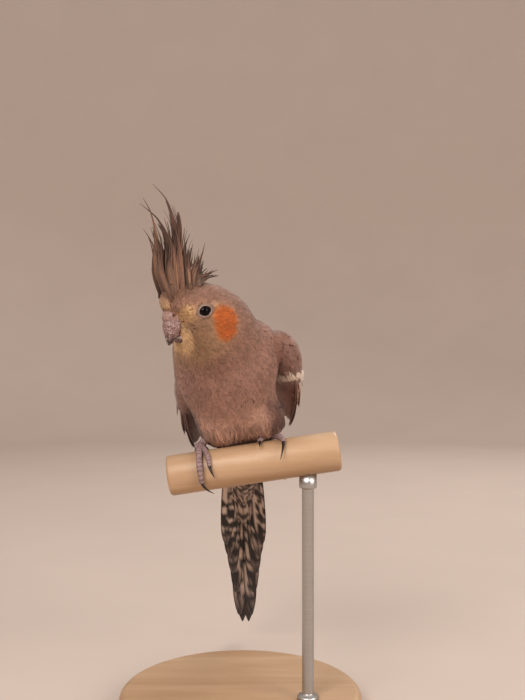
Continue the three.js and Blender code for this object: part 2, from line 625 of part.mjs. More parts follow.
node(bird, "torso", trunkPart, "grey");
node(bird, "neck", neckPart, "grey");
node(bird, "head", head, "face");
node(bird, "crest", crestSolid, "crest");
node(bird, "bill_upper", bill, "horn");
node(bird, "bill_lower", lowerBill, "horn");
node(bird, "cere", cere, "cere");
eyes.forEach((eye) => node(bird, eye.name, eye.ball, "eye"));
WINGS.forEach((spec) => node(bird, spec.name, wing(spec), "wing"));
node(bird, "tail", tail(), "tail");
legs();
stand();

export default model;
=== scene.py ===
"""A life-size cockatiel with its crest raised, on a perch, a rod and a turned base.

Lengths are in millimetres and become metres where each mesh is made. The bird's breast faces -Y.
"""

import math

import bpy
import numpy as np
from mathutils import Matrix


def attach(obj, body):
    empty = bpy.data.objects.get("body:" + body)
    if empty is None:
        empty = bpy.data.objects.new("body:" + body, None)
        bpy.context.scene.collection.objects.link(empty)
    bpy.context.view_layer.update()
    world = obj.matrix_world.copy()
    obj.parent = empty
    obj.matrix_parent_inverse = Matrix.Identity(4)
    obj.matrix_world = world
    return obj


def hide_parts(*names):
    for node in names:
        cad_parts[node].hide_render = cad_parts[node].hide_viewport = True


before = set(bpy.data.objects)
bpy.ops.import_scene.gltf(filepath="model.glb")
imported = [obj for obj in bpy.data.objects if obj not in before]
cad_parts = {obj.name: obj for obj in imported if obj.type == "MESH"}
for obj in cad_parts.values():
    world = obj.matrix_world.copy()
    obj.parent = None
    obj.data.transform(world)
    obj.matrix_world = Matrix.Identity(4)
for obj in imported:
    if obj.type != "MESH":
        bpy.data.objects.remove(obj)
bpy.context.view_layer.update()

# Base: a turned disc of pale beech, 124 mm across, with a rounded rim and a fine bead cut below it.
# It is oiled, so the grain shows and the shine stays low.
MM = 0.001
BASE = {"radius": 62, "thick": 10, "behind": 14, "eased": 3.2}
BEAD = [(-0.8, 0), (0, 0.7), (0, 3.4), (-0.5, 3.8), (-0.5, 4.3), (0, 4.7)]
BEECH_PALE = (0.50, 0.33, 0.20)
BEECH_DARK = (0.33, 0.19, 0.10)


def unit(vectors):
    return vectors / np.maximum(np.linalg.norm(vectors, axis=-1, keepdims=True), 1e-9)


def curve(knots, at):
    """The values at the given places of a smooth run of (place, value) knots."""
    x, y = np.array(knots, float).T
    slope = np.empty(len(x))
    slope[1:-1] = (y[2:] - y[:-2]) / (x[2:] - x[:-2])
    slope[[0, -1]] = (y[1] - y[0]) / (x[1] - x[0]), (y[-1] - y[-2]) / (x[-1] - x[-2])
    at = np.clip(at, x[0], x[-1])
    i = np.clip(np.searchsorted(x, at, "right") - 1, 0, len(x) - 2)
    span = x[i + 1] - x[i]
    u = (at - x[i]) / span
    return ((2 * u**3 - 3 * u**2 + 1) * y[i] + (u**3 - 2 * u**2 + u) * slope[i] * span
            + (3 * u**2 - 2 * u**3) * y[i + 1] + (u**3 - u**2) * slope[i + 1] * span)


def ring_quads(count, sides, closed=False):
    """Quads between rings of points that follow one another; closed joins the last to the first."""
    column = np.arange(sides)
    following = (column + 1) % sides
    start = (np.arange(count if closed else count - 1) * sides)[:, None]
    ahead = (start + sides) % (count * sides)
    return np.stack([start + column, start + following, ahead + following, ahead + column],
                    axis=-1).reshape(-1, 4)


def loft(rings):
    """Points and faces of a closed surface over rings of points, with a flat cap at each end."""
    count, sides = rings.shape[:2]
    points = np.concatenate([rings.reshape(-1, 3), rings[:1].mean(1), rings[-1:].mean(1)])
    quads = ring_quads(count, sides)
    column = np.arange(sides)
    following = (column + 1) % sides
    last = (count - 1) * sides
    caps = np.concatenate([
        np.stack([following, column, np.full(sides, count * sides)], axis=-1),
        np.stack([last + column, last + following, np.full(sides, count * sides + 1)], axis=-1)])
    a, b, c, d = (points[quads[:, k]] for k in range(4))
    if np.sum(a * np.cross(b, c)) + np.sum(a * np.cross(c, d)) < 0:
        quads, caps = quads[:, ::-1], caps[:, ::-1]
    return points, [quads, caps]


def round_angles(count):
    return np.linspace(0, 2 * math.pi, count, endpoint=False)


def lathe(profile, sides, centre=(0, 0)):
    """Rings of a profile of (radius, height) turned round an upright line."""
    radius, height = np.array(profile, float).T[..., None]
    turn = round_angles(sides)
    return np.stack([centre[0] + radius * np.cos(turn), centre[1] + radius * np.sin(turn),
                     np.broadcast_to(height, (len(profile), sides))], axis=-1)


def placed(name, data):
    """An object made of the data, standing in the scene."""
    thing = bpy.data.objects.new(name, data)
    bpy.context.scene.collection.objects.link(thing)
    return thing


def make_piece(name, points, faces, material, slot, stands_for=(), normals=None):
    """A mesh piece in the shared frame that rides on the model's one body."""
    mesh = bpy.data.meshes.new(name)
    corners = np.concatenate([group.ravel() for group in faces])
    sizes = np.concatenate([np.full(len(group), group.shape[1]) for group in faces])
    mesh.vertices.add(len(points))
    mesh.vertices.foreach_set("co", (points * MM).astype(np.float32).ravel())
    mesh.loops.add(len(corners))
    mesh.loops.foreach_set("vertex_index", corners.astype(np.int32))
    mesh.polygons.add(len(sizes))
    mesh.polygons.foreach_set("loop_start", np.concatenate([[0], np.cumsum(sizes)[:-1]]).astype(np.int32))
    mesh.update(calc_edges=True)
    mesh.polygons.foreach_set("use_smooth", np.ones(len(sizes), bool))
    if normals is not None:
        mesh.normals_split_custom_set_from_vertices(normals.tolist())
    thing = placed(name, mesh)
    mesh.materials.append(material)
    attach(thing, "root")
    if stands_for:
        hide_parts(*stands_for)
    return thing


def node(tree, kind, inputs=None, **settings):
    """A shader node whose inputs are numbers, colours or other nodes' outputs."""
    made = tree.nodes.new(kind)
    for key, value in settings.items():
        setattr(made, key, value)
    for key, value in (inputs or {}).items():
        if isinstance(value, bpy.types.NodeSocket):
            tree.links.new(value, made.inputs[key])
        else:
            made.inputs[key].default_value = value
    return made


def new_finish(name, **sockets):
    """A material with its principled shader; sockets set what is the same all over."""
    material = bpy.data.materials.new(name)
    material.use_nodes = True
    tree = material.node_tree
    shader = tree.nodes["Principled BSDF"]
    for key, value in sockets.items():
        shader.inputs[key.replace("_", " ")].default_value = value
    return material, tree, shader


def blended(tree, share, first, second, way="MIX"):
    """A colour between two, by a share that is a number or an output."""
    mix = node(tree, "ShaderNodeMix", data_type="RGBA", blend_type=way)
    for socket, value in zip((mix.inputs[0], mix.inputs[6], mix.inputs[7]), (share, first, second)):
        if isinstance(value, bpy.types.NodeSocket):
            tree.links.new(value, socket)
        elif socket == mix.inputs[0]:
            socket.default_value = value
        else:
            socket.default_value = (*value, 1.0)
    return mix.outputs[2]


def stretched(tree, value, low, high, to_low=0.0, to_high=1.0):
    """A value's stretch from low to high, spread over another stretch."""
    return node(tree, "ShaderNodeMapRange", {"Value": value, "From Min": low, "From Max": high,
                                             "To Min": to_low, "To Max": to_high}).outputs[0]


def bumped(tree, shader, height, strength, distance):
    """Fine relief from a pattern; the distance is in metres."""
    bump = node(tree, "ShaderNodeBump", {"Height": height, "Strength": strength, "Distance": distance})
    tree.links.new(bump.outputs[0], shader.inputs["Normal"])


def colored(tree, shader, tone):
    tree.links.new(tone, shader.inputs["Base Color"])


def grained(tree, stretch, noise, turn=(0, 0, 0)):
    """A noise drawn out along one axis of the piece, once its places are turned."""
    place = node(tree, "ShaderNodeTexCoord").outputs["Object"]
    turned = node(tree, "ShaderNodeMapping", {"Vector": place, "Rotation": turn, "Scale": stretch})
    return node(tree, "ShaderNodeTexNoise", {"Vector": turned.outputs[0], **noise}).outputs[0]


def wood(name, turn, ring_scale):
    """Oiled beech whose grain runs along the X axis once it is turned."""
    material, tree, shader = new_finish(name, Specular_IOR_Level=0.35)
    grain = grained(tree, (6, 60, 60), {"Scale": ring_scale, "Detail": 8.0, "Roughness": 0.62,
                                        "Distortion": 0.5}, turn)
    fleck = grained(tree, (120, 1500, 1500), {"Scale": 1.0, "Detail": 2.0}, turn)
    tone = blended(tree, stretched(tree, grain, 0.32, 0.68), BEECH_DARK, BEECH_PALE)
    tone = blended(tree, stretched(tree, fleck, 0.62, 0.75, 0, 0.45), tone, BEECH_DARK)
    colored(tree, shader, tone)
    tree.links.new(stretched(tree, grain, 0.3, 0.7, 0.5, 0.36), shader.inputs["Roughness"])
    bumped(tree, shader, fleck, 0.12, 0.0002)
    return material


def base_rings():
    """The base from the middle of its underside, over the bead and the eased rim, to its top."""
    radius, thick, eased = BASE["radius"], BASE["thick"], BASE["eased"]
    rim = [(0.02, 0)] + [(radius + out, up) for out, up in BEAD]
    rim += [(radius - eased * (1 - math.cos(a)), thick - eased * (1 - math.sin(a)))
            for a in np.linspace(0, math.pi / 2, 8)]
    return lathe(rim + [(radius - 8, thick), (radius * 0.5, thick), (0.02, thick)], 128)


base = make_piece("turned_base", *loft(base_rings()), wood("oiled_beech", (0, 0, 0.5), 0.6), "stand_wood",
                  ["stand_base"])
for face in base.data.polygons:
    face.use_smooth = abs(face.normal.z) < 0.999

# Rod: a straight brushed steel rod, 6 mm thick, that stands in a small collar on the base.
# Its top goes into a ferrule under the perch.
ROD = {"radius": 3, "along": 34}
COLLAR = [(2.4, 0), (2.4, 1.6), (1.9, 2.2), (0.1, 3.0), (0, 3.4)]
FERRULE = [(0, -7), (0.1, -6.6), (1.2, -6.2), (1.4, -5.6), (1.4, 1.0)]
PERCH = {"radius": 10, "from": -36, "to": 50, "tilt": math.radians(8.5), "above": 137, "eased": 1.6}
PERCH_TOP = np.array([0, -BASE["behind"], PERCH["above"]], float)
PERCH_WAY = np.array([math.cos(PERCH["tilt"]), 0, math.sin(PERCH["tilt"])])
PERCH_UP = np.array([-math.sin(PERCH["tilt"]), 0, math.cos(PERCH["tilt"])])
PERCH_FRONT = np.array([0, -1.0, 0])
PERCH_MIDDLE = PERCH_TOP + [0, 0, -PERCH["radius"] / math.cos(PERCH["tilt"])]


def brushed_steel():
    material, tree, shader = new_finish("brushed_steel", Metallic=1.0, Anisotropic=0.5)
    brush = grained(tree, (40, 40, 4000), {"Scale": 1.0, "Detail": 3.0})
    colored(tree, shader, blended(tree, brush, (0.38, 0.37, 0.36), (0.55, 0.54, 0.53)))
    tree.links.new(stretched(tree, brush, 0.2, 0.8, 0.28, 0.42), shader.inputs["Roughness"])
    return material


def rod_rings():
    """The rod from its collar on the base to its ferrule, which ends just inside the perch."""
    under = PERCH_MIDDLE[2] + ROD["along"] * math.tan(PERCH["tilt"]) - PERCH["radius"] * 1.012
    profile = [(ROD["radius"] + out, foot + up)
               for foot, part in ((BASE["thick"], COLLAR), (under, FERRULE)) for out, up in part]
    return lathe(profile, 48, (ROD["along"], -BASE["behind"]))


make_piece("steel_rod", *loft(rod_rings()), brushed_steel(), "stand_rod", ["stand_rod"])

# Perch: a round beech dowel, 20 mm thick, sanded and eased at its ends.
# It slants 8.5 degrees, lower on the bird's right, and the toes grip it.


def round_perch(distance, angle, radius):
    """Points round the perch: distance along it, degrees from its top to the front, and radius."""
    distance, angle = np.asarray(distance, float)[..., None], np.radians(angle)[..., None]
    radius = np.asarray(radius, float)[..., None]
    return (PERCH_MIDDLE + PERCH_WAY * distance + PERCH_UP * radius * np.cos(angle)
            + PERCH_FRONT * radius * np.sin(angle))


def perch_rings():
    """Rings along the dowel, with a quarter round at each end."""
    ease = np.linspace(0, math.pi / 2, 7)
    inset = PERCH["eased"] * (1 - np.sin(ease))
    radius = PERCH["radius"] - PERCH["eased"] * (1 - np.cos(ease))
    places = np.concatenate([PERCH["from"] + inset[::-1], PERCH["to"] - inset])
    return round_perch(places[:, None], np.linspace(0, 360, 96, endpoint=False),
                       np.concatenate([radius[::-1], radius])[:, None])


make_piece("perch_dowel", *loft(perch_rings()), wood("sanded_beech", (0, PERCH["tilt"], 0), 1.0),
           "stand_wood", ["stand_perch"])

# Skin: the bird's whole body from rump to crown as one surface, made of rounded masses that melt
# together. It lies a coat's depth inside the solids, and shows only as dark down between feathers.
COAT = 0.9
TRUNK = {"yaw": math.radians(-4), "roll": math.radians(-8.5)}
HEAD = {"yaw": math.radians(-58), "centre": (-18, -25.6, 64.5)}
MELT = 8
RINGS, COLUMNS = 150, 112
SPINE = [(1, 33, -3), (0.5, 20, 10), (-3, 4, 28), (-8, -12, 46), (-14.5, -21, 60), (-18, -24, 67)]


def turning(yaw, roll=0.0, pitch=0.0):
    cz, sz, cy, sy, cx, sx = (f(a) for a in (yaw, roll, pitch) for f in (math.cos, math.sin))
    about_z = np.array([[cz, -sz, 0], [sz, cz, 0], [0, 0, 1]])
    about_y = np.array([[cy, 0, sy], [0, 1, 0], [-sy, 0, cy]])
    about_x = np.array([[1, 0, 0], [0, cx, -sx], [0, sx, cx]])
    return about_z @ about_y @ about_x


TRUNK_TURN = turning(TRUNK["yaw"], TRUNK["roll"])
HEAD_TURN = turning(HEAD["yaw"])
HEAD_AT = PERCH_TOP + HEAD["centre"]


def in_trunk(points):
    """Places given as (left, back, up) from the top of the perch, in the trunk's own lean."""
    return PERCH_TOP + np.asarray(points, float) @ TRUNK_TURN.T


def in_head(points):
    """Places given as (left, back, up) from the middle of the head."""
    return HEAD_AT + np.asarray(points, float) @ HEAD_TURN.T


def trunk_part(points):
    return (points - PERCH_TOP) @ TRUNK_TURN


def head_part(points):
    return (points - HEAD_AT) @ HEAD_TURN


def head_way(left, back, up):
    return unit(HEAD_TURN @ np.array([left, back, up], float))


def trunk_way(left, back, up):
    return unit(TRUNK_TURN @ np.array([left, back, up], float))


def mass(turn, origin, centre, half, slope):
    """A rounded mass: the turn into its own axes, its centre and its three half-lengths."""
    own = turn @ turning(0, 0, math.radians(-slope))
    return own, origin + turn @ np.array(centre, float), np.array(half, float)


TRUNK_MASSES = {
    "breast": ((-1, -6, 36), (24.5, 28, 21.5), 54),
    "belly": ((-0.8, 9, 20), (19.9, 25, 18.5), 44),
    "left thigh": ((14, 3, 11), (10, 12, 9), 30),
    "right thigh": ((-9.8, 2, 11), (8.6, 12, 9), 30),
    "left shoulder": ((16, -2.5, 46.6), (10.5, 15, 11.6), 50),
    "right shoulder": ((-14, -4, 46), (10, 15, 12), 50),
    "rump": ((0, 25, 1), (12.5, 23, 10.5), 51),
    "throat": ((-3, -17, 55), (19.2, 18, 17), 60),
}
HEAD_MASSES = {
    "skull": ((0, 2, 1), (13, 17.6, 13.8), 2),
    "nape": ((2, 9.6, -9.5), (13.6, 14, 17), 34),
    "cheeks": ((0, -4, -4), (10.5, 8.8, 9.5), 0),
    "forehead": ((0, -11.7, 6.3), (8.2, 8.5, 7), 0),
}
BODY = ([mass(TRUNK_TURN, PERCH_TOP, *sizes) for sizes in TRUNK_MASSES.values()]
        + [mass(HEAD_TURN, HEAD_AT, *sizes) for sizes in HEAD_MASSES.values()])


def outside(masses, points):
    """How far points are outside the melted masses; negative inside."""
    whole = None
    for own, centre, half in masses:
        local = (points - centre) @ own
        near = np.linalg.norm(local / half, axis=-1)
        steep = np.linalg.norm(local / half**2, axis=-1)
        gap = near * (near - 1) / np.maximum(steep, 1e-6)
        if whole is None:
            whole = gap
        else:
            blend = np.maximum(MELT - np.abs(whole - gap), 0) / MELT
            whole = np.minimum(whole, gap) - blend**2 * MELT / 4
    return whole


def facing(masses, points):
    """The gap at each point and the way straight out of the masses."""
    step = 0.05
    here = outside(masses, points)
    ahead = [outside(masses, points + step * axis) - here for axis in np.eye(3)]
    return here, np.stack(ahead, axis=-1) / step


def settled(masses, points, level, rounds=2):
    """Points moved straight in or out until they are at a level above the masses' surface."""
    for _ in range(rounds):
        gap, slope = facing(masses, points)
        points = points - slope * ((gap - level) / np.maximum((slope**2).sum(-1), 0.2))[..., None]
    return points


def smooth_path(points, count):
    points = np.array(points, float)
    reach = np.concatenate([[0], np.cumsum(np.linalg.norm(np.diff(points, axis=0), axis=1))])
    at = np.linspace(0, reach[-1], count)
    return np.stack([curve(list(zip(reach, points[:, k])), at) for k in range(3)], axis=1)


def body_grid():
    """The skin as rings of points round the spine, from the rump to the crown."""
    fine = smooth_path(PERCH_TOP + np.array(SPINE, float), 400)
    t = (1 - np.cos(np.linspace(0, math.pi, RINGS + 1)[1:-1])) / 2
    place = np.stack([np.interp(t, np.linspace(0, 1, len(fine)), fine[:, k]) for k in range(3)], axis=1)
    forward = unit(np.gradient(place, t, axis=0))
    side = unit(np.array([1.0, 0, 0]) - forward * forward[:, :1])
    dorsal = np.cross(side, forward)
    reach = np.clip(np.minimum(t, 1 - t) * 3, 0, 1)
    lean = (1 - np.sqrt(reach)) * np.where(t < 0.5, -1, 1) * math.pi / 2
    turn = round_angles(COLUMNS)[None, :, None]
    ray = ((side[:, None] * np.cos(turn) + dorsal[:, None] * np.sin(turn)) * np.cos(lean)[:, None, None]
           + forward[:, None] * np.sin(lean)[:, None, None])
    found = np.repeat(place[:, None], COLUMNS, axis=1)
    for _ in range(60):
        found = found + ray * np.clip(-COAT - outside(BODY, found), 0, 5)[..., None] * 0.7
    return found


def linear(color):
    """Display colours from 0 to 255 as the linear values that a shader takes."""
    shade = np.asarray(color, float) / 255
    return np.where(shade <= 0.04045, shade / 12.92, ((shade + 0.055) / 1.055) ** 2.4)


DOWN = (96, 70, 60)


def tinted_finish(name, **sockets):
    """A finish whose piece has its own tint: also gives the tint and the place on the piece."""
    material, tree, shader = new_finish(name, **sockets)
    own = node(tree, "ShaderNodeAttribute", attribute_name="tint").outputs["Color"]
    return material, tree, shader, own, node(tree, "ShaderNodeTexCoord").outputs["Object"]


def flecked(tree, tone, pattern, spread, color):
    """A tone with flecks of a display colour, where the pattern's spread lets them show."""
    return blended(tree, stretched(tree, pattern, *spread), tone, tuple(linear(color)))


def down_finish():
    material, tree, shader, own, place = tinted_finish("down", Roughness=0.95, Specular_IOR_Level=0.1)
    fluff = node(tree, "ShaderNodeTexNoise", {"Vector": place, "Scale": 900.0, "Detail": 4.0}).outputs[0]
    colored(tree, shader, flecked(tree, own, fluff, (0.3, 0.7, 0.4, 0.05), DOWN))
    bumped(tree, shader, fluff, 0.5, 0.0004)
    return material


# Markings: grey-brown all over, paler low on the belly, with a yellow face, orange cheeks and a
# cream chin, and with painted shade low on each flank under the wing. The skin and every feather
# take their colour from here, by where they show.
GREY = (137, 100, 86)
CROWN = (128, 93, 77)
BELLY = (174, 136, 118)
BACK = (118, 86, 76)
# The next tone is painted shade, for the hollow low on each flank under the wing.
FLANK_SHADE = (80, 54, 46)
YELLOW = (168, 130, 86)
CREAM = (206, 168, 124)
OLIVE = (130, 98, 72)
CHEEK = (158, 78, 29)
CHEEK_EDGE = (164, 122, 92)
RUSSET = (106, 74, 56)
FACE_PATCHES = {
    "side of the throat": (OLIVE, (-4, -11), (12, 11), 0.55, 0.75, 0.0),
    "throat": (YELLOW, (-6, -17), (6, 8), 0.8, 0.28, 0.7),
    "lores": (YELLOW, (-12, -1), (3.4, 4.4), 0.5, 1.0, 0.7),
    "above the lores": (CREAM, (-11.4, 1.8), (1.7, 2), 0.7, 0.5, 0.8),
    "chin band": (CREAM, (-10.2, -12.8), (2.2, 6.9), 0.45, 0.95, 0.3),
    "forehead": (CREAM, (-20.5, 2.8), (3.2, 3.9), 0.5, 0.62, 0.0),
    "round the eye": (CREAM, (-4.6, 1), (5, 4.2), 0.4, 0.25, 0.0),
    "behind the eye": (CREAM, (0.6, 2.4), (2.2, 2.6), 0.6, 0.5, 0.0),
}
CHEEK_SPOT = {"middle": (4.8, -4.6), "reach": (5.6, 8.1), "edge": (6.7, 9.2), "square": 2.8}


def rippled(points, length, seed):
    """A soft uneven value from -1 to 1 over the points, by a few crossing waves."""
    draw = np.random.default_rng(seed)
    total = np.zeros(points.shape[:-1])
    for _ in range(6):
        way = unit(draw.normal(size=3)) * 2 * math.pi / (length * draw.uniform(0.6, 1.7))
        total += np.sin(points @ way + draw.uniform(0, 2 * math.pi))
    return total / 3.2


def ramp(low, high, value):
    t = np.clip((value - low) / (high - low), 0, 1)
    return t * t * (3 - 2 * t)


def patch(places, middle, reach, soft, power=2.0):
    """How much of a marking shows, by places back and up: 1 inside it, 0 outside, with a soft edge."""
    apart = ((np.abs(places[..., 1:] - middle) / reach) ** power).sum(-1) ** (1 / power)
    return ramp(1 + soft, 1 - soft, apart)


def mixed(first, second, share):
    """Display colours between two, by a share for each point."""
    first = np.asarray(first, float)
    return first + (np.asarray(second, float) - first) * np.asarray(share)[..., None]


def markings(points):
    """The coat's colour at places on the body, as display colours."""
    head, trunk = head_part(points), trunk_part(points)
    uneven = rippled(points, 4, 3)[..., None]
    left, back, up = np.abs(head[..., 0]), head[..., 1], head[..., 2]
    aside, behind, above = trunk[..., 0], trunk[..., 1], trunk[..., 2]
    on_head = ramp(30, 19, np.linalg.norm(head - [0, 4, -2], axis=-1))
    # Painted shade low on each flank, where the wing and thigh shade the body; on the right it stands for
    # the dark inside of the wing.
    flank_shade = np.maximum(ramp(15, 18, aside) * ramp(24, 17, above),
                       ramp(16.2, 18.2, -aside - 0.6 * np.maximum(above - 14, 0)) * ramp(23, 19, above))
    color = mixed(GREY, BELLY, ramp(30, 8, above) * ramp(14, -6, behind) * 0.85)
    color = mixed(color, BACK, ramp(-2, 16, behind) * ramp(10, 26, above))
    color = mixed(color, FLANK_SHADE, flank_shade * ramp(2, 5, above) * 0.85)
    color = mixed(color, CROWN, on_head * 0.9)
    slant = np.array([0, 1, 0]) * (0.42 * (up + 13))[..., None]
    limits = {"lores": 0.75 + 0.25 * rippled(points, 2.2, 33), "forehead": ramp(7, 4, left)}
    for name, (paint, middle, reach, soft, strength, loose) in FACE_PATCHES.items():
        places = head + loose * uneven + (slant if name == "chin band" else 0)
        share = patch(places, middle, reach, soft) * strength * limits.get(name, 1)
        color = mixed(color, paint, share)
    narrower = 0.05 * np.clip(-5 - up, 0, 9)[..., None]
    taper = head + 0.35 * uneven + [0, 1, 0] * (head - [0, CHEEK_SPOT["middle"][0], 0]) * narrower
    for paint, reach, soft, strength in ((CHEEK_EDGE, "edge", 0.3, 0.5), (CHEEK, "reach", 0.2, 1)):
        share = patch(taper, CHEEK_SPOT["middle"], CHEEK_SPOT[reach], soft, CHEEK_SPOT["square"])
        color = mixed(color, paint, share * strength)
    crest_foot = np.maximum(4.2 + 0.55 * (back + 17.9), 8.5 - 0.67 * left)
    color = mixed(color, RUSSET, ramp(-0.9, 0.9, up - crest_foot) * ramp(3, -2, back) * 0.8)
    return np.clip(color * (1 + 0.04 * rippled(points, 9, 5)[..., None]), 0, 255)


def give_tint(thing, colors):
    """Keeps a display colour for each point, or one for all, which the material reads as tint."""
    colors = np.broadcast_to(np.clip(colors, 0, 255), (len(thing.data.vertices), 3))
    values = np.concatenate([linear(colors), np.ones((len(colors), 1))], axis=1)
    layer = thing.data.color_attributes.new("tint", "FLOAT_COLOR", "POINT")
    layer.data.foreach_set("color", values.astype(np.float32).ravel())


def give_map(thing, name, places):
    """A UV map from a place for each point."""
    corners = np.empty(len(thing.data.loops), np.int32)
    thing.data.loops.foreach_get("vertex_index", corners)
    layer = thing.data.uv_layers.new(name=name)
    layer.data.foreach_set("uv", places[corners].astype(np.float32).ravel())


def grid_places(rows, columns):
    """Where each point of a ring grid lies on its unwrap, cap middles included."""
    across, along = np.meshgrid((np.arange(columns) + 0.5) / columns, (np.arange(rows) + 0.5) / rows)
    return np.concatenate([np.stack([across, along], axis=-1).reshape(-1, 2), [[0.5, 0], [0.5, 1]]])


skin_grid = body_grid()
skin_points, skin_faces = loft(skin_grid)
down = down_finish()
skin = make_piece("skin", skin_points, skin_faces, down, "coat", ["torso", "neck", "head"])
give_tint(skin, markings(skin_points))
give_map(skin, "OFBake", grid_places(*skin_grid.shape[:2]))

# Coat: thousands of small soft feathers, each a thin curved vane with a ragged tip, rooted in the
# skin. They point away from the bill on the head and towards the tail on the body.
EYE = {"back": -4.7, "up": 0.8, "looks": (-0.28, 0.03), "radius": 3.7, "proud": 1.3, "bare": 3.2,
       "clear": 2.6}
BILL_ROOT = (0, -13, -2)
BARE_PARTS = {"cere": ((0, -14.4, -1.3), (6.2, 5.8, 3.6)), "bill": ((0, -14.6, -7.5), (6, 4.6, 8))}
TRIES = 7
PATCH = 0.0015


def eye_places():
    """For each eye, the left one first: its place on the face and the way it looks."""
    places = []
    for side in (1, -1):
        spot = in_head([side * 2.0, EYE["back"], EYE["up"]])
        way = head_way(side, 0, 0)
        for _ in range(40):
            spot = spot + way * -outside(BODY, spot[None])[0] * 0.8
        places.append((side, spot, head_way(side, *EYE["looks"])))
    return places


EYES = eye_places()


def scattered(grid, spacing, seed):
    """Evenly spread places on a ring grid: the places and where they are on the unwrap."""
    draw = np.random.default_rng(seed)
    rows, columns = grid.shape[0] - 1, grid.shape[1]
    around = np.concatenate([grid, grid[:, :1]], axis=1)
    a, b = around[:-1, :-1], around[:-1, 1:]
    c, d = around[1:, 1:], around[1:, :-1]
    area = np.linalg.norm(np.cross(c - a, d - b), axis=-1) / 2
    gaps = spacing((a + b + c + d) / 4)
    weight = (area / gaps**2).ravel()
    count = int(weight.sum() * TRIES)
    chosen = draw.choice(rows * columns, count, p=weight / weight.sum())
    i, j = np.divmod(chosen, columns)
    u, v = draw.random((2, count))
    spots = ((a[i, j] * (1 - v)[:, None] + b[i, j] * v[:, None]) * (1 - u)[:, None]
             + (d[i, j] * (1 - v)[:, None] + c[i, j] * v[:, None]) * u[:, None])
    gap = spacing(spots)
    cell = float(gap.max())
    taken, kept = {}, []
    for k, key in enumerate(map(tuple, np.floor(spots / cell).astype(int).tolist())):
        spot, room = spots[k], gap[k] ** 2
        near = [other for x in (-1, 0, 1) for y in (-1, 0, 1) for z in (-1, 0, 1)
                for other in taken.get((key[0] + x, key[1] + y, key[2] + z), ())]
        if near and (((np.array(near) - spot) ** 2).sum(1) < room).any():
            continue
        taken.setdefault(key, []).append(spot)
        kept.append(k)
    where = np.stack([(j + v + 0.5) / columns, (i + u + 0.5) / (rows + 1)], axis=-1)
    return spots[kept], where[kept]


def lie_of_coat(points):
    """The way each feather points, along the body's surface."""
    away = points - in_head(BILL_ROOT)
    far = ramp(20, 44, np.linalg.norm(away, axis=-1))[..., None]
    way = unit(away) * (1 - far) + trunk_way(0, 0.62, -0.79) * far
    for _, spot, _ in EYES:
        apart = points - spot
        distance = np.linalg.norm(apart, axis=-1, keepdims=True)
        way = way + 0.8 * unit(apart) * np.clip(1 - distance / 7, 0, 1)
    return way


def grid_quads(rows, columns):
    i, j = np.meshgrid(np.arange(rows - 1), np.arange(columns - 1), indexing="ij")
    corner = (i * columns + j).ravel()
    return np.stack([corner, corner + 1, corner + columns + 1, corner + columns], axis=-1)


def repeated(quads, count, size):
    """The faces of one feather, again for each of many that follow one another."""
    return (np.arange(count)[:, None, None] * size + quads).reshape(-1, 4)


VANE_SHAPE = [(0, 0.3), (0.3, 0.85), (0.6, 1), (0.85, 0.8), (1, 0.42)]
VANE_RISE = [(0, -0.1), (0.25, 0.5), (0.5, 0.68), (0.75, 0.8), (1, 0.86)]


def ruffled(points):
    """How unevenly the feathers lie: a little all over, and more in a few ruffled spots."""
    return 0.12 + 0.2 * ramp(0.5, 1.1, rippled(points, 12, 71))


def lay_coat(name, masses, roots, where, lie, length, half, colors, material, slot, seed,
             rows=5, columns=5, base_level=-COAT, rise=1.0, uneven=0.035, paint=None):
    """One coat piece: a soft vane at each root, bent along the masses' surface.

    The length, the half-width and the colour are one for each root, or one for all.
    """
    draw = np.random.default_rng(seed)
    count = len(roots)
    length, half = np.broadcast_to(length, count), np.broadcast_to(half, count)
    u = np.linspace(0, 1, rows)
    v = np.linspace(-1, 1, columns)
    height = base_level + curve(VANE_RISE, u) * rise * (1 + 0.12 * draw.uniform(-1, 1, (count, 1)))
    way = unit(lie(roots)) + ruffled(roots)[:, None] * draw.normal(size=(count, 3))
    path, outward = [settled(masses, roots, height[:, 0])], []
    for k in range(rows):
        slope = unit(facing(masses, path[-1])[1])
        outward.append(slope)
        way = unit(way - slope * (way * slope).sum(-1, keepdims=True))
        if k + 1 < rows:
            ahead = path[-1] + way * (length * (u[k + 1] - u[k]))[:, None]
            path.append(settled(masses, ahead, height[:, k + 1]))
    path, outward = np.stack(path, axis=1), np.stack(outward, axis=1)
    along = unit(np.gradient(path, axis=1))
    side = np.cross(along, outward)
    wide = half[:, None] * curve(VANE_SHAPE, u) * (1 + 0.12 * draw.uniform(-1, 1, (count, 1)))
    fray = ramp(0.6, 1.0, u)[:, None] * draw.uniform(-0.12, 0.12, (count, rows, columns))
    ragged = fray * length[:, None, None]
    swept = -0.75 * (v**2) * wide[..., None] * u[:, None] + ragged
    points = (path[:, :, None] + side[:, :, None] * (wide[..., None] * v)[..., None]
              + along[:, :, None] * swept[..., None])
    flat = points.reshape(-1, 3)
    level = (height[:, :, None] - 0.22 * rise * v**2 * wide[..., None] / half.max()).reshape(-1)
    flat = settled(masses, flat, level, 1)
    normals = unit(facing(masses, flat)[1])
    tone = np.broadcast_to(np.reshape(colors, (-1, 1, 1, 3)), (count, rows, columns, 3))
    if paint is not None:
        tone = 0.4 * tone + 0.6 * paint(flat).reshape(tone.shape)
    tone = (tone * (1 + uneven * draw.normal(size=(count, 1, 1, 1))) * (0.92 + 0.1 * u)[:, None, None]
            * (1 + 0.035 * draw.normal(size=(count, 1, columns, 1))))
    faces = repeated(grid_quads(rows, columns), count, rows * columns)
    thing = make_piece(name, flat, [faces], material, slot, normals=normals)
    give_tint(thing, tone.reshape(-1, 3))
    local = np.stack(np.meshgrid(v, u), axis=-1)
    give_map(thing, "OFBake", (where[:, None, None] + PATCH * (local - [0, 0.5])).reshape(-1, 2))
    give_map(thing, "vane", np.tile(((local + [1, 0]) / [2, 1]).reshape(-1, 2), (count, 1)))


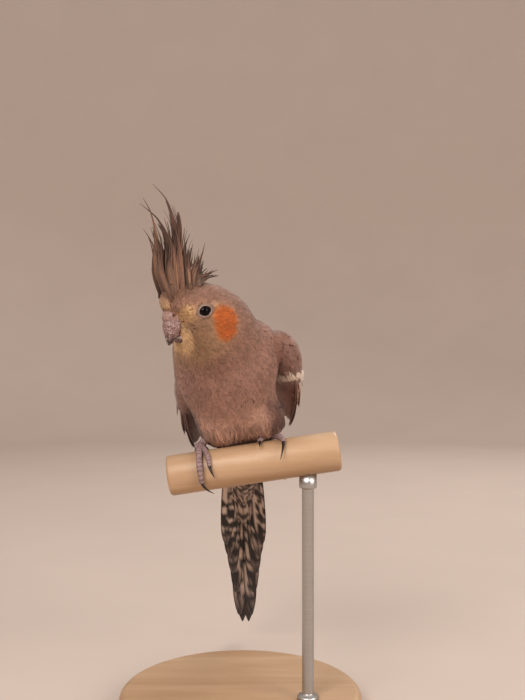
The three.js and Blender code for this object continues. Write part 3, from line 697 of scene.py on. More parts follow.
def worked(tree, way, *values):
    """What a sum makes of its values, which are numbers or outputs."""
    return node(tree, "ShaderNodeMath", dict(enumerate(values)), operation=way).outputs[0]


def feather_finish(name, sheen=0.25, roughness=0.78, barbs=0.25, frequency=18.0):
    """Soft feather: its tint, uneven by a fine noise, with barbs that slant from the shaft."""
    material, tree, shader, own, place = tinted_finish(
        name, Roughness=roughness, Sheen_Weight=sheen, Sheen_Roughness=0.5, Specular_IOR_Level=0.25)
    speck = node(tree, "ShaderNodeTexNoise", {"Vector": place, "Scale": 1400.0, "Detail": 3.0}).outputs[0]
    shade = stretched(tree, speck, 0.3, 0.7, 0.82, 1.14)
    grey = node(tree, "ShaderNodeCombineColor", {"Red": shade, "Green": shade, "Blue": shade}).outputs[0]
    colored(tree, shader, blended(tree, 1.0, own, grey, "MULTIPLY"))
    vane = node(tree, "ShaderNodeUVMap", uv_map="vane").outputs[0]
    across = node(tree, "ShaderNodeSeparateXYZ", {"Vector": vane})
    wide = worked(tree, "ABSOLUTE", worked(tree, "SUBTRACT", across.outputs["X"], 0.5))
    slant = worked(tree, "MULTIPLY_ADD", wide, -0.6, across.outputs["Y"])
    wave = worked(tree, "SINE", worked(tree, "MULTIPLY", slant, frequency * 2 * math.pi))
    bumped(tree, shader, wave, barbs, 0.0001)
    return material


COAT_SPACING = [(0, 0.62), (10, 0.66), (22, 0.95), (36, 1.3), (60, 1.5), (120, 1.7)]
COAT_LENGTH = [(0, 1.5), (8, 2.2), (16, 3.4), (28, 5.0), (44, 7.4), (70, 8.8), (120, 10.5)]
HEAD_COAT = {"centre": (0, 2, -2), "reach": 21}
BELLY_TOP = 24


def from_bill(points):
    return np.linalg.norm(points - in_head(BILL_ROOT), axis=-1)


def coat_allowed(points):
    """Which roots carry a feather, and how long each may grow before it meets an eye."""
    free, room = np.ones(len(points), bool), np.full(len(points), 99.0)
    for middle, half in BARE_PARTS.values():
        free &= np.linalg.norm((head_part(points) - middle) / half, axis=-1) > 1
    way = unit(lie_of_coat(points))
    for _, spot, _ in EYES:
        apart = points - spot
        distance = np.linalg.norm(apart, axis=-1)
        free &= distance > EYE["bare"]
        towards = (way * apart).sum(-1) < 0
        room = np.where(towards, np.minimum(room, distance - EYE["clear"]), room)
    return free & (room > 0.6), room


def coat_set(spacing, seed, keep=None):
    """Roots of feathers that may grow, with their place on the unwrap, their length and their colour."""
    roots, where = scattered(skin_grid, spacing, seed)
    free, room = coat_allowed(roots)
    if keep is not None:
        free &= keep(roots)
    roots, where = roots[free], where[free]
    long = np.minimum(curve(COAT_LENGTH, from_bill(roots)), room[free])
    draw = np.random.default_rng(seed + 90)
    seen = long * draw.uniform(0.45, 0.8, len(long))
    shown = roots + unit(lie_of_coat(roots)) * seen[:, None] + 0.35 * draw.normal(size=roots.shape)
    return roots, where, long, markings(shown)


def front_of_body(points):
    return (facing(BODY, points)[1] @ trunk_way(0, 1, 0.6)) < 0


coat_finish = feather_finish("soft_feather", sheen=0.12)
roots, where, long, colors = coat_set(lambda points: curve(COAT_SPACING, from_bill(points)), 7)
on_head = np.linalg.norm(roots - in_head(HEAD_COAT["centre"]), axis=-1) < HEAD_COAT["reach"]
in_front = front_of_body(roots)
low = trunk_part(roots)[:, 2] < BELLY_TOP
coat_pieces = {"coat_head": on_head,
               "coat_breast": ~on_head & in_front & ~low,
               "coat_belly": ~on_head & in_front & low,
               "coat_back": ~on_head & ~in_front & ~low,
               "coat_rump": ~on_head & ~in_front & low}
for seed, (name, chosen) in enumerate(coat_pieces.items()):
    small = name == "coat_head"
    lay_coat(name, BODY, roots[chosen], where[chosen], lie_of_coat, long[chosen],
             0.3 * long[chosen] - 0.08 * small, colors[chosen], coat_finish, "coat", 30 + seed,
             rows=4 if small else 5, columns=5 if small else 7, rise=0.9 if small else 1.0, paint=markings)

# Loose barbs: single barbs as fine as hairs, which stand a little off the coat nearly everywhere.
# They are longest and palest on the belly.
WISP = {"half": 0.12, "from_bill": 7}
WISP_SPACING = [(0, 2.0), (12, 1.4), (30, 1.15), (60, 1.0), (120, 1.2)]
wisp_roots, wisp_where, wisp_long, wisp_colors = coat_set(
    lambda points: curve(WISP_SPACING, from_bill(points)), 8,
    lambda points: from_bill(points) > WISP["from_bill"])
wisp_front = front_of_body(wisp_roots)
for name, chosen in (("wisps_front", wisp_front), ("wisps_back", ~wisp_front)):
    pale = 1.03 + 0.14 * ramp(30, 10, trunk_part(wisp_roots[chosen])[:, 2])[:, None]
    lay_coat(name, BODY, wisp_roots[chosen], wisp_where[chosen], lie_of_coat, 0.8 * wisp_long[chosen],
             WISP["half"], wisp_colors[chosen] * pale, coat_finish, "coat", 36, columns=2, rise=1.3,
             uneven=0.1)

# Fringe: longer loose feathers that hang from the belly and thighs down to the perch, and hide the
# tops of the legs. They are soft, narrow and a little ragged.
FRINGE = {"spacing": 1.3, "below": 13, "half": 0.5, "longer": 0.35}


def evenly(gap):
    """A spacing that is the same all over."""
    return lambda points: np.full(points.shape[:-1], gap)


fringe_roots, fringe_where, fringe_long, fringe_colors = coat_set(
    evenly(FRINGE["spacing"]), 9,
    lambda points: (trunk_part(points)[:, 2] < FRINGE["below"]) & front_of_body(points))
fringe_long *= 0.9 + FRINGE["longer"] * ramp(5, 11, -trunk_part(fringe_roots)[:, 0])
lay_coat("belly_fringe", BODY, fringe_roots, fringe_where, lie_of_coat, fringe_long, FRINGE["half"],
         fringe_colors, coat_finish, "coat", 37, rows=6, columns=3, rise=1.9, uneven=0.1)

# Bill: the upper part is a strong hook of dull mauve-grey horn, flaking a little, dark at the tip.
# It bites over the short lower part. The cere is bare rough skin over its root, with two nostrils.
BILL_LINE = [(-7, -3), (-11.6, -3.4), (-14.2, -5.6), (-15.1, -8.8), (-15.8, -11.8), (-16.6, -14.9)]
LOWER_LINE = [(-4, -9), (-8.5, -10.9), (-12, -11.8), (-14.2, -10.4)]
CERE = {"centre": (0, -14.3, -1.9), "half": (5.7, 5.2, 4.1)}
NOSTRIL = {"centre": (5.3, -16.3, -1.1), "radius": 1.05}
HORN = {"mauve": (126, 95, 90), "tip": (46, 30, 27), "under": (84, 58, 52), "downy": (210, 190, 178)}
CERE_SKIN = (142, 110, 100)
NOSTRIL_DARK = (52, 24, 20)


def limb_rings(path, wide, high, up, sides=32, ridge=0.0):
    """Rings along a path, with a half-width and a half-height at each point of it."""
    forward = unit(np.gradient(path, axis=0))
    normals = []
    normal = np.array(up, float)
    for way in forward:
        normal = unit(normal - way * (normal @ way))
        normals.append(normal)
    normals = np.array(normals)
    side = np.cross(forward, normals)
    turn = round_angles(sides)
    narrow = 1 - ridge * np.clip(np.sin(turn), 0, 1) ** 2
    return (path[:, None] + side[:, None] * (wide[:, None] * np.cos(turn) * narrow)[..., None]
            + normals[:, None] * (high[:, None] * np.sin(turn))[..., None])


def ball_rings(rows, columns, end):
    """A round ball of radius 1, as rings from near its top to near its bottom."""
    polar = np.linspace(end, math.pi - end, rows)[:, None]
    turn = round_angles(columns)
    return np.stack([np.cos(turn) * np.sin(polar), np.sin(turn) * np.sin(polar),
                     np.broadcast_to(np.cos(polar), (rows, columns))], axis=-1)


def horn_finish(name, pale, dark, scale, roughness=0.5, strength=0.35, mottled=0.5):
    """Horn or bare skin that flakes a little, in a paler and a darker tone than its own."""
    material, tree, shader, own, place = tinted_finish(name, Roughness=roughness, Specular_IOR_Level=0.4)
    flake = node(tree, "ShaderNodeTexNoise", {"Vector": place, "Scale": scale, "Detail": 6.0,
                                              "Roughness": 0.7, "Distortion": 0.8}).outputs[0]
    tone = flecked(tree, own, flake, (0.52, 0.6, 0, mottled), pale)
    colored(tree, shader, flecked(tree, tone, flake, (0.46, 0.38, 0, mottled), dark))
    bumped(tree, shader, flake, strength, 0.0003)
    return material


def in_profile(line, count):
    return smooth_path(in_head([(0, back, up) for back, up in line]), count)


def upper_bill():
    rows, sides = 60, 56
    path = in_profile(BILL_LINE, rows)
    t = np.linspace(0, 1, rows)
    wide = curve([(0, 5.2), (0.35, 5.9), (0.6, 4.7), (0.85, 2.1), (0.97, 0.7), (1, 0.2)], t)
    high = curve([(0, 4.4), (0.3, 5.5), (0.6, 4.4), (0.85, 2.1), (0.97, 0.8), (1, 0.2)], t)
    rings = limb_rings(path, wide, high, head_way(0, 0, 1), sides, ridge=0.16)
    flakes = 0.07 * rippled(rings, 1.1, 61) * ramp(0.1, 0.3, t)[:, None] * ramp(1.0, 0.8, t)[:, None]
    points, faces = loft(rings + unit(rings - path[:, None]) * flakes[..., None])
    inner_edge = ramp(-0.35, -0.75, np.sin(round_angles(sides))) * ramp(0.45, 0.6, t)[:, None] * 0.8
    dark = np.maximum(ramp(0.66, 0.94, t)[:, None], inner_edge)
    return points, faces, mixed(HORN["mauve"], HORN["tip"], np.append(dark, [0, 1]))


def lower_bill():
    path = in_profile(LOWER_LINE, 30)
    t = np.linspace(0, 1, 30)
    wide = curve([(0, 3.4), (0.5, 3.4), (0.85, 2.2), (1, 1.0)], t)
    high = curve([(0, 2.4), (0.5, 2.3), (0.85, 1.6), (1, 0.7)], t)
    points, faces = loft(limb_rings(path, wide, high, head_way(0, 0, 1), 32))
    return points, faces, mixed(HORN["under"], HORN["downy"], ramp(-12.2, -10.8, head_part(points)[:, 2]))


def cere_skin():
    ball = ball_rings(60, 80, 0.02)
    local = ball * CERE["half"] + CERE["centre"]
    inside = np.zeros(ball.shape[:2])
    for side in (1, -1):
        x, y, z = NOSTRIL["centre"]
        apart = np.linalg.norm(local - [side * x, y, z], axis=-1) / NOSTRIL["radius"]
        hollow = ramp(1.15, 0.55, apart)
        rim = np.exp(-((apart - 1.35) / 0.3) ** 2)
        local = local + ball * (0.15 * rim - 1.9 * hollow)[..., None]
        inside = np.maximum(inside, hollow)
    local = local + ball * (0.12 * rippled(local, 1.2, 63) * (1 - inside))[..., None]
    points, faces = loft(in_head(local))
    return points, faces, mixed(CERE_SKIN, NOSTRIL_DARK, np.append(inside, [0, 0]))


horn = horn_finish("bill_horn", (196, 174, 168), (82, 56, 51), 1100.0, strength=0.6, mottled=0.75)
bare_skin = horn_finish("cere_skin", (204, 180, 172), (98, 66, 60), 1500.0, roughness=0.65, strength=0.6,
                        mottled=0.7)
for name, (points, faces, colors), finish, slot, stands_for in (
        ("bill_hook", upper_bill(), horn, "bill", ["bill_upper"]),
        ("bill_under", lower_bill(), horn, "bill", ["bill_lower"]),
        ("cere_pad", cere_skin(), bare_skin, "cere", ["cere"])):
    give_tint(make_piece(name, points, faces, finish, slot, stands_for), colors)

# Eyes: dark brown and wet, nearly all iris and pupil, each in a round opening in the face.
# Four rows of small wrinkled folds ring each eye as its lids, the outermost sunk below the coat.
IRIS = {"pupil": 1.5, "outer": (34, 18, 12), "inner": (5, 3, 3)}
LID_TILT = math.radians(24)
LID_SHADE = (112, 84, 78)
LID_FOLDS = [
    {"reach": 2.72, "thick": 0.11, "out": 0.4, "corner": 0.17, "tone": (170, 148, 138)},
    {"reach": 2.96, "thick": 0.16, "out": 0.2, "corner": 0.22, "tone": (144, 118, 108)},
    {"reach": 3.26, "thick": 0.22, "out": 0.0, "corner": 0.26, "tone": (136, 108, 94)},
    {"reach": 3.58, "thick": 0.3, "out": -0.34, "corner": 0.3, "tone": (130, 100, 84)},
]


def eye_finish():
    material, tree, shader, own, place = tinted_finish("wet_eye", Roughness=0.06, IOR=1.25,
                                                       Specular_IOR_Level=0.3)
    rays = node(tree, "ShaderNodeTexNoise", {"Vector": place, "Scale": 2500.0}).outputs[0]
    tone = blended(tree, stretched(tree, rays, 0.4, 0.7, 0, 0.4), own, (0.004, 0.002, 0.002))
    colored(tree, shader, tone)
    return material


def lid_finish():
    material, tree, shader, own, place = tinted_finish("lid_skin", Roughness=0.6, Specular_IOR_Level=0.35)
    grain = node(tree, "ShaderNodeTexVoronoi", {"Vector": place, "Scale": 2200.0}).outputs[0]
    colored(tree, shader, flecked(tree, own, grain, (0, 0.6, 0.35, 0.0), LID_SHADE))
    bumped(tree, shader, grain, 0.4, 0.0002)
    return material


def ways_round(way, turn):
    """The ways square to a looking way, from the front of the face round over the top."""
    up = unit(np.array([0, 0, 1.0]) - way * way[2])
    return np.cross(up, way) * np.cos(turn)[:, None] + up * np.sin(turn)[:, None]


def eyeball(spot, way):
    """A ball whose clear front bulges a little, brown round a wide black pupil."""
    rows, sides = 48, 64
    centre = spot + way * (EYE["proud"] - EYE["radius"])
    polar = np.linspace(0.01, math.pi - 0.01, rows)
    bulge = EYE["radius"] + 0.22 * ramp(0.75, 0.1, polar)
    ring = ways_round(way, round_angles(sides))
    points, faces = loft(centre + way * (bulge * np.cos(polar))[:, None, None]
                         + ring * (bulge * np.sin(polar))[:, None, None])
    off = np.append(np.repeat(EYE["radius"] * np.sin(polar), sides), [0, 0])
    brown = ramp(IRIS["pupil"], IRIS["pupil"] + 0.5, off) * 0.8
    return points, faces, mixed(IRIS["inner"], IRIS["outer"], brown)


def lid_fold(spot, way, fold, seed):
    """One beaded fold of skin round an eye: wider than tall, with a small point at each corner."""
    draw = np.random.default_rng(seed)
    turn, tube = round_angles(160), round_angles(12)
    bead = (fold["thick"] * (1 + 0.12 * np.sin(turn * 41 + draw.normal()) * np.sin(turn * 17)))[:, None]
    ring = ways_round(way, turn)
    rear = np.cos(turn - LID_TILT)
    pointed = np.where(rear > 0, 1, 0.5) * np.abs(rear) ** 7
    reach = fold["reach"] * (0.94 + 0.06 * np.cos(2 * (turn - LID_TILT)) + fold["corner"] * pointed)
    middle = spot + way * (fold["out"] - 0.25 * pointed)[:, None] + ring * reach[:, None]
    points = (middle[:, None] + ring[:, None] * (bead * np.cos(tube))[..., None]
              + way * (0.8 * bead * np.sin(tube))[..., None])
    return points.reshape(-1, 3), [ring_quads(len(turn), len(tube), closed=True)[:, [0, 3, 2, 1]]]


wet_eye, lid_skin = eye_finish(), lid_finish()
for side, spot, way in EYES:
    name = "left" if side > 0 else "right"
    points, faces, colors = eyeball(spot, way)
    give_tint(make_piece("eyeball_" + name, points, faces, wet_eye, "eye", ["eye_" + name]), colors)
    for row, fold in enumerate(LID_FOLDS):
        points, faces = lid_fold(spot, way, fold, 50 + row)
        lid = make_piece(f"lid_{name}_{row + 1}", points, faces, lid_skin, "coat")
        give_tint(lid, fold["tone"])

# Crest: long narrow feathers raised in a fan, rooted close together on the forehead and crown.
# The front ones are the longest and end in fine dark points that curl forward.
CREST_FEATHERS = [
    [(19, 9.6), (22.4, 18), (23, 26), (25.6, 32.9), (29.5, 38.1)],
    [(18.9, 9.4), (22.6, 22), (22.8, 34), (25.7, 45.8), (29.6, 52.2)],
    [(18.2, 10), (20, 19), (19.8, 28), (21, 35), (23.6, 41)],
    [(17.4, 10.6), (17.8, 22), (16.8, 32.5), (22, 42.8), (31.1, 49.5)],
    [(16.4, 11), (15.6, 20), (15.4, 29), (16.6, 37), (19, 44)],
    [(15.4, 11.4), (13, 26), (13.9, 41), (18, 52.5), (24.7, 58.9)],
    [(14.2, 12), (12.6, 22), (12.2, 33), (12.9, 42), (15, 50)],
    [(13, 12.4), (11.6, 22), (11.2, 31), (11, 39), (11.8, 47.2)],
    [(11.6, 12.8), (9.4, 21), (8.6, 28), (7.4, 33.4), (5.6, 37.5)],
    [(10.2, 13), (7.8, 18.5), (6.2, 24), (5, 29), (4, 33)],
    [(8.6, 13), (4.6, 17.5), (1.4, 22.5), (-0.9, 28.2), (-2.5, 34)],
    [(7, 13), (3.6, 16), (1, 19), (-0.6, 22), (-1.9, 25)],
    [(5.6, 13), (1.8, 16), (-1.8, 18), (-5.7, 19.8), (-9.5, 21.4)],
    [(4.4, 13), (0.6, 15.6), (-2.6, 17.2), (-6, 18), (-9.6, 18.4)],
]
LONG_BLADE = [(0, 0.6), (0.15, 0.95), (0.35, 1), (0.55, 0.62), (0.7, 0.32), (0.85, 0.17), (1, 0.05)]
SHORT_BLADE = [(0, 0.6), (0.2, 0.95), (0.5, 1), (0.75, 0.66), (0.9, 0.34), (1, 0.08)]
BLUNT_BLADE = [(0, 0.6), (0.3, 1), (0.8, 1), (0.95, 0.8), (1, 0.5)]
BLUNT_ONE, CREST_EXTRA, CREST_STRANDS = 7, 7, 8
CREST_SPREAD = (6.2, 4.6, 3.8, 3.6, 4.2)
CREST_STRAY = (0, 0.2, 0.4, 0.7, 1.0)
CREST_TONES = {"root": (88, 60, 46), "olive": (124, 92, 72), "brown": (86, 59, 47), "tip": (64, 44, 36)}


def blade_solids(path, outward, half, thick, columns=7, camber=0.12, ragged=None, sweep=0.9):
    """Closed thin blades on paths: points, faces, and each point's place along and across its blade."""
    count, rows = path.shape[:2]
    v = np.linspace(-1, 1, columns)
    along = unit(np.gradient(path, axis=1))
    side = unit(np.cross(along, outward))
    face = unit(np.cross(side, along))
    u = np.linspace(0, 1, rows)
    swept = -sweep * v**2 * half[..., None] * ramp(0.5, 1, u)[None, :, None]
    if ragged is not None:
        swept = swept + ragged
    shaft = 0.35 * thick * np.exp(-((v / 0.16) ** 2))
    body = (path[:, :, None] + side[:, :, None] * (half[..., None] * v)[..., None]
            + along[:, :, None] * swept[..., None])
    arch = camber * half[..., None] * v**2
    depth = thick * (1 - 0.75 * v**2) * curve([(0, 1), (0.8, 0.9), (1, 0.3)], u)[:, None]
    top = body + face[:, :, None] * (depth / 2 + shaft - arch)[..., None]
    under = body - face[:, :, None] * (depth / 2 + shaft + arch)[..., None]
    points = np.concatenate([top.reshape(count, -1, 3), under.reshape(count, -1, 3)], axis=1)
    size = rows * columns
    sheet = grid_quads(rows, columns)
    rim = np.concatenate([np.arange(columns), np.arange(2, rows + 1) * columns - 1,
                          (rows - 1) * columns + np.arange(columns - 2, -1, -1),
                          np.arange(rows - 2, 0, -1) * columns])
    ahead = np.roll(rim, -1)
    wall = np.stack([rim, ahead, ahead + size, rim + size], axis=-1)
    quads = repeated(np.concatenate([sheet[:, ::-1], size + sheet, wall]), count, 2 * size)
    place = np.stack(np.meshgrid(v, u), axis=-1).reshape(size, 2)
    place = np.broadcast_to(np.concatenate([place, place]), (count, 2 * size, 2))
    return points.reshape(-1, 3), [quads], place


def lay_blades(name, solid, colors, material, slot, stands_for=()):
    """A piece of closed blades with their tint and their two maps."""
    points, faces, place = solid
    thing = make_piece(name, points, faces, material, slot, stands_for)
    give_tint(thing, colors.reshape(-1, 3))
    give_map(thing, "vane", ((place + [1, 0]) / [2, 1]).reshape(-1, 2))
    where = (np.arange(len(place)) + 0.5)[:, None, None] / len(place) * [1, 0] + [0, 0.5]
    give_map(thing, "OFBake", (where + PATCH * (place - [0, 0.5])).reshape(-1, 2))


def crest_blades():
    """Each traced feather with shorter ones beside it, rooted across the forehead and crown."""
    draw = np.random.default_rng(11)
    traced = np.array(CREST_FEATHERS, float)
    each, last = CREST_EXTRA + CREST_STRANDS, len(traced) - 1
    at, even = np.linspace(0, 1, 26), np.linspace(0, 1, 80)
    paths, halves, outward = [], [], []
    for k, extra in np.ndindex(len(traced), each):
        knots, across, reach = traced[k].copy(), 0.0, 1.0
        if extra:
            knots += (traced[min(k + 1, last)] - knots) * draw.random()
            across = math.copysign(math.sqrt(draw.random()), draw.random() - 0.45)
            reach = draw.uniform(0.36, 0.8) if extra < CREST_EXTRA else draw.uniform(0.5, 0.92)
        knots[0] -= np.array([2.2, 2.4 + 3.8 * math.sqrt(1 - k / last)]) * across**2
        spread = across * np.array(CREST_SPREAD) + (extra > 0) * draw.normal(size=5) * CREST_STRAY
        line = in_head([(spread[i], -forward, up) for i, (forward, up) in enumerate(knots)])
        line[0] = settled(BODY, line[:1], -1.3, 5)[0]
        whole = smooth_path(line, len(even))
        path = np.stack([np.interp(at * reach, even, whole[:, i]) for i in range(3)], axis=1)
        gap, slope = facing(BODY, path)
        over_coat = np.maximum(0.35 - gap, 0) * ramp(0.01, 0.07, at * reach)
        path = path + unit(slope) * over_coat[:, None]
        curl = draw.normal() * (extra > 0) * at**3
        paths.append(path - head_way(0, 1, 0) * 1.2 * curl[:, None])
        broad = draw.uniform(1.1, 1.55) if extra < CREST_EXTRA else draw.uniform(0.22, 0.4)
        halves.append(1.15 * curve(BLUNT_BLADE, at) if (k, extra) == (BLUNT_ONE, 0)
                      else broad * curve(SHORT_BLADE if extra else LONG_BLADE, at))
        angle = draw.uniform(0.2, 1.0) + draw.uniform(-0.3, 0.5) * at
        side = math.copysign(1, across + 0.35)
        outward.append(np.stack([side * np.cos(angle), -np.sin(angle), 0 * angle], axis=1) @ HEAD_TURN.T)
    half = np.array(halves)
    fray = draw.uniform(-0.55, 0.55, (*half.shape, 7)) * half[..., None] * (at[:, None] > 0.3)
    fray[BLUNT_ONE * each, -4:] *= 2.2
    return blade_solids(np.array(paths), np.array(outward), half, 0.3, ragged=fray, camber=0.1)


def crest_colors(place):
    """Brown at the root, olive-grey with a paler middle above it, and dark at the edges and the tip."""
    draw = np.random.default_rng(12)
    v, u = place[..., 0], place[..., 1]
    middle = mixed(CREST_TONES["olive"], CREST_TONES["brown"], draw.random((len(place), 1)))
    color = mixed(CREST_TONES["root"], middle, ramp(0.02, 0.4, u))
    color = mixed(color, CREST_TONES["tip"], ramp(0.55, 0.95, u) * 0.8)
    color = mixed(color, CREST_TONES["tip"], ramp(0.6, 1.0, np.abs(v)) * 0.15)
    return color * (1 + 0.12 * draw.normal(size=(len(place), 1, 1)))


crest_solid = crest_blades()
crest_finish = feather_finish("crest_feather", sheen=0.15, barbs=0.35, frequency=60.0)
lay_blades("crest_fan", crest_solid, crest_colors(crest_solid[2]), crest_finish, "crest", ["crest"])

# Wings: held a little off the body, with the long feathers cut short. Each has a plump front covered
# in small grey feathers, a white patch on its outer face, and dark flight feathers in tiers.
# A wing's inside value is painted light on its inner face when above nought, and painted shade when below.
WINGS = {
    # Each wing's own row tones are painted light on the left wing's under row and painted shade on the
    # right wing's under row and primaries.
    "left": {"side": 1, "front": (29, -9, 51.5), "tip": (21, 66, 6), "seed": 21,
             "white": (-0.92, -0.35), "band": 1.0, "inside": 0.36, "light_and_shade_tones": {"under": (140, 96, 85)}},
    "right": {"side": -1, "front": (-18, -7, 44), "tip": (-31.5, 68, 0), "seed": 22,
              "white": (-0.3, 0.35), "band": 0.0, "inside": -0.15,
              "light_and_shade_tones": {"under": (82, 53, 45), "primaries": (82, 54, 46)}},
}
WING_HALF = [(0, 3.5), (0.06, 9), (0.2, 13), (0.45, 14.5), (0.75, 10.5), (1, 5)]
WING_THICK = [(0, 2), (0.06, 4.4), (0.2, 6), (0.45, 4.8), (0.75, 2.8), (1, 1.4)]
WING_WRAP = math.radians(82)
WING_PADS = [(0.18, -2.2, (9.6, 15, 6.0)), (0.44, -0.6, (12.6, 32, 5.0))]
PAD_START = {"at": 0.38, "half": (12, 34, 6)}
WING_BAND = 31.5
WING_COVERTS = {"spacing": 1.5, "until": 0.6, "long": [(-0.1, 4.2), (0.1, 5.0), (0.3, 6.5), (0.6, 8.5)]}
WING_GREY = (128, 94, 82)
WING_DARK = (106, 71, 61)
WING_WHITE = (214, 190, 172)
FLIGHT = (104, 70, 60)


def wing_axes(spec):
    """A wing's start, length and three ways: along it, to its back edge and outwards."""
    start, end = in_trunk(spec["front"]), in_trunk(spec["tip"])
    way = unit(end - start)
    dorsal = trunk_way(-0.42 * spec["side"], 0.15, 0.9)
    dorsal = unit(dorsal - way * (dorsal @ way))
    out = unit(np.cross(way, dorsal))
    if out @ trunk_way(spec["side"], 0, 0) < 0:
        out = -out
    return start, np.linalg.norm(end - start), way, dorsal, out


def wing_places(axes, s, t, lift):
    """Places on a wing's outer face, and the way out of it there."""
    start, length, way, dorsal, out = axes
    s, t, lift = np.broadcast_arrays(s, t, lift)
    turn = (t * WING_WRAP)[..., None]
    half, thick = curve(WING_HALF, s)[..., None], curve(WING_THICK, s)[..., None]
    normal = unit(out * np.cos(turn) * half + dorsal * np.sin(turn) * thick)
    place = (start + way * (s * length)[..., None] + dorsal * np.sin(turn) * half
             + out * (np.cos(turn) * thick - 2.5 * t[..., None] ** 2) + normal * lift[..., None])
    return place, normal


def wing_mass(axes):
    """The two rounded masses that fill a wing's front and middle."""
    start, length, way, dorsal, out = axes
    own = np.stack([dorsal, way, out], axis=1)
    return [(own, start + way * length * at + dorsal * above, np.array(half, float))
            for at, above, half in WING_PADS]


def pad_skin(axes, masses, rows=60, columns=56):
    """A ring grid over a wing's rounded mass, from its near end to its far end."""
    start, length, way, dorsal, out = axes
    polar = np.linspace(0.03, math.pi - 0.03, rows)[:, None, None]
    turn = round_angles(columns)[:, None]
    high, long, thick = PAD_START["half"]
    grid = (start + way * (length * PAD_START["at"] - long * np.cos(polar))
            + (dorsal * np.cos(turn) * high + out * np.sin(turn) * thick) * np.sin(polar))
    return settled(masses, grid, -0.6, 8)


def wing_markings(spec, axes, points):
    """Grey in front, darker behind, with a white patch on the outer face and a ragged white band; painted
    light on the left wing's inner face and painted shade on the right's.
    """
    start, length, way, dorsal, out = axes
    apart = points - start
    s, high, off = apart @ way / length, apart @ dorsal / 14, apart @ out / 6
    uneven = rippled(points, 5, 9)
    color = mixed(WING_GREY, WING_DARK, ramp(0.2, 0.32, s - 0.1 * (high + 1)))
    # Painted light on the left wing's inner face and painted shade on the right's, by the wing's inside
    # value.
    color = color * (1 + spec["inside"] * ramp(0, -0.6, off) * ramp(0.24, 0.34, s))[..., None]
    low, top = spec["white"]
    white = (ramp(0.26, 0.31, s + 0.04 * uneven) * ramp(0.56, 0.48, s + 0.04 * uneven)
             * ramp(low - 0.1, low + 0.05, high) * ramp(top + 0.08, top - 0.08, high + 0.06 * uneven)
             * ramp(-0.2, 0.3, off))
    raised = trunk_part(points)[..., 2] - WING_BAND + 0.9 * uneven
    band = (ramp(-0.9, -0.1, raised) * ramp(2.1, 1.3, raised) * ramp(0.05, -0.15, high)
            * ramp(0.4, 0.34, s) * spec["band"])
    return mixed(color, WING_WHITE, np.maximum(white, band))


WING_ROWS = [
    {"name": "primaries", "count": 10, "roots": ((0.3, -0.74), (0.44, -0.1)),
     "tips": ((0.95, -0.95), (1.03, 0.1)), "half": 3.5, "lift": -0.2, "tone": FLIGHT, "blunt": 0.55},
    {"name": "under", "count": 9, "roots": ((0.28, -0.5), (0.42, 0.5)),
     "tips": ((0.86, -0.52), (0.9, 0.35)), "half": 4.0, "lift": 0.0, "tone": FLIGHT, "blunt": 0.55},
    {"name": "secondaries", "count": 11, "roots": ((0.5, -0.2), (0.5, 0.8)),
     "tips": ((1.0, 0.1), (0.84, 1.0)), "half": 4.1, "lift": 0.4, "tone": WING_DARK, "blunt": 0.7},
    {"name": "greater", "count": 11, "roots": ((0.22, -0.55), (0.42, 0.85)),
     "tips": ((0.66, -0.62), (0.74, 0.95)), "half": 3.6, "lift": 1.1, "tone": None, "blunt": 0.6},
    {"name": "median", "count": 12, "roots": ((0.14, -0.5), (0.3, 0.9)),
     "tips": ((0.44, -0.55), (0.52, 0.95)), "half": 3.3, "lift": 1.6, "tone": None, "blunt": 0.6},
]


TUFT = {"each": 5, "within": 1.7, "apart": 0.6, "long": (1.6, 3.8), "half": 0.4, "tone": (246, 228, 214)}


def all_along(way):
    """A lie that is the same all over."""
    return lambda points: np.broadcast_to(way, points.shape)


def wing_row(axes, row, draw):
    """One tier of long feathers on a wing; the row named under lies on its inner face."""
    u = np.linspace(0, 1, row["count"])[:, None]
    v = np.linspace(0, 1, 16)[None]
    (s0, t0), (s1, t1) = row["roots"]
    (s2, t2), (s3, t3) = row["tips"]
    root_s, root_t = s0 + (s1 - s0) * u, t0 + (t1 - t0) * u
    tip_s = s2 + (s3 - s2) * u + 0.02 * draw.normal(size=u.shape)
    tip_t = t2 + (t3 - t2) * u
    s, t = root_s + (tip_s - root_s) * v, root_t + (tip_t - root_t) * v
    stagger = 0.16 * (np.arange(row["count"])[:, None] % 2) + 0.1 * draw.random(u.shape)
    lift = -1.6 + (row["lift"] + 2.2) * v**0.8 + stagger
    path, normal = wing_places(axes, s, t, lift)
    if row["name"] == "under":
        out = axes[4]
        path = path - 2 * ((path - axes[0]) @ out)[..., None] * out
        normal = normal - 2 * (normal @ out)[..., None] * out
    blunt = row["blunt"]
    shape = curve([(0, 0.4), (0.2, 0.85), (0.6, 1), (0.9, 0.5 + 0.5 * blunt), (1, blunt)], v)
    half = row["half"] * shape * (1 + 0.06 * draw.normal(size=u.shape))
    ragged = draw.uniform(-0.5, 0.4, (row["count"], 16, 7)) * (v[0, :, None] > 0.93)
    return blade_solids(path, normal, half, 0.42, ragged=ragged, camber=0.1, sweep=0.55), path


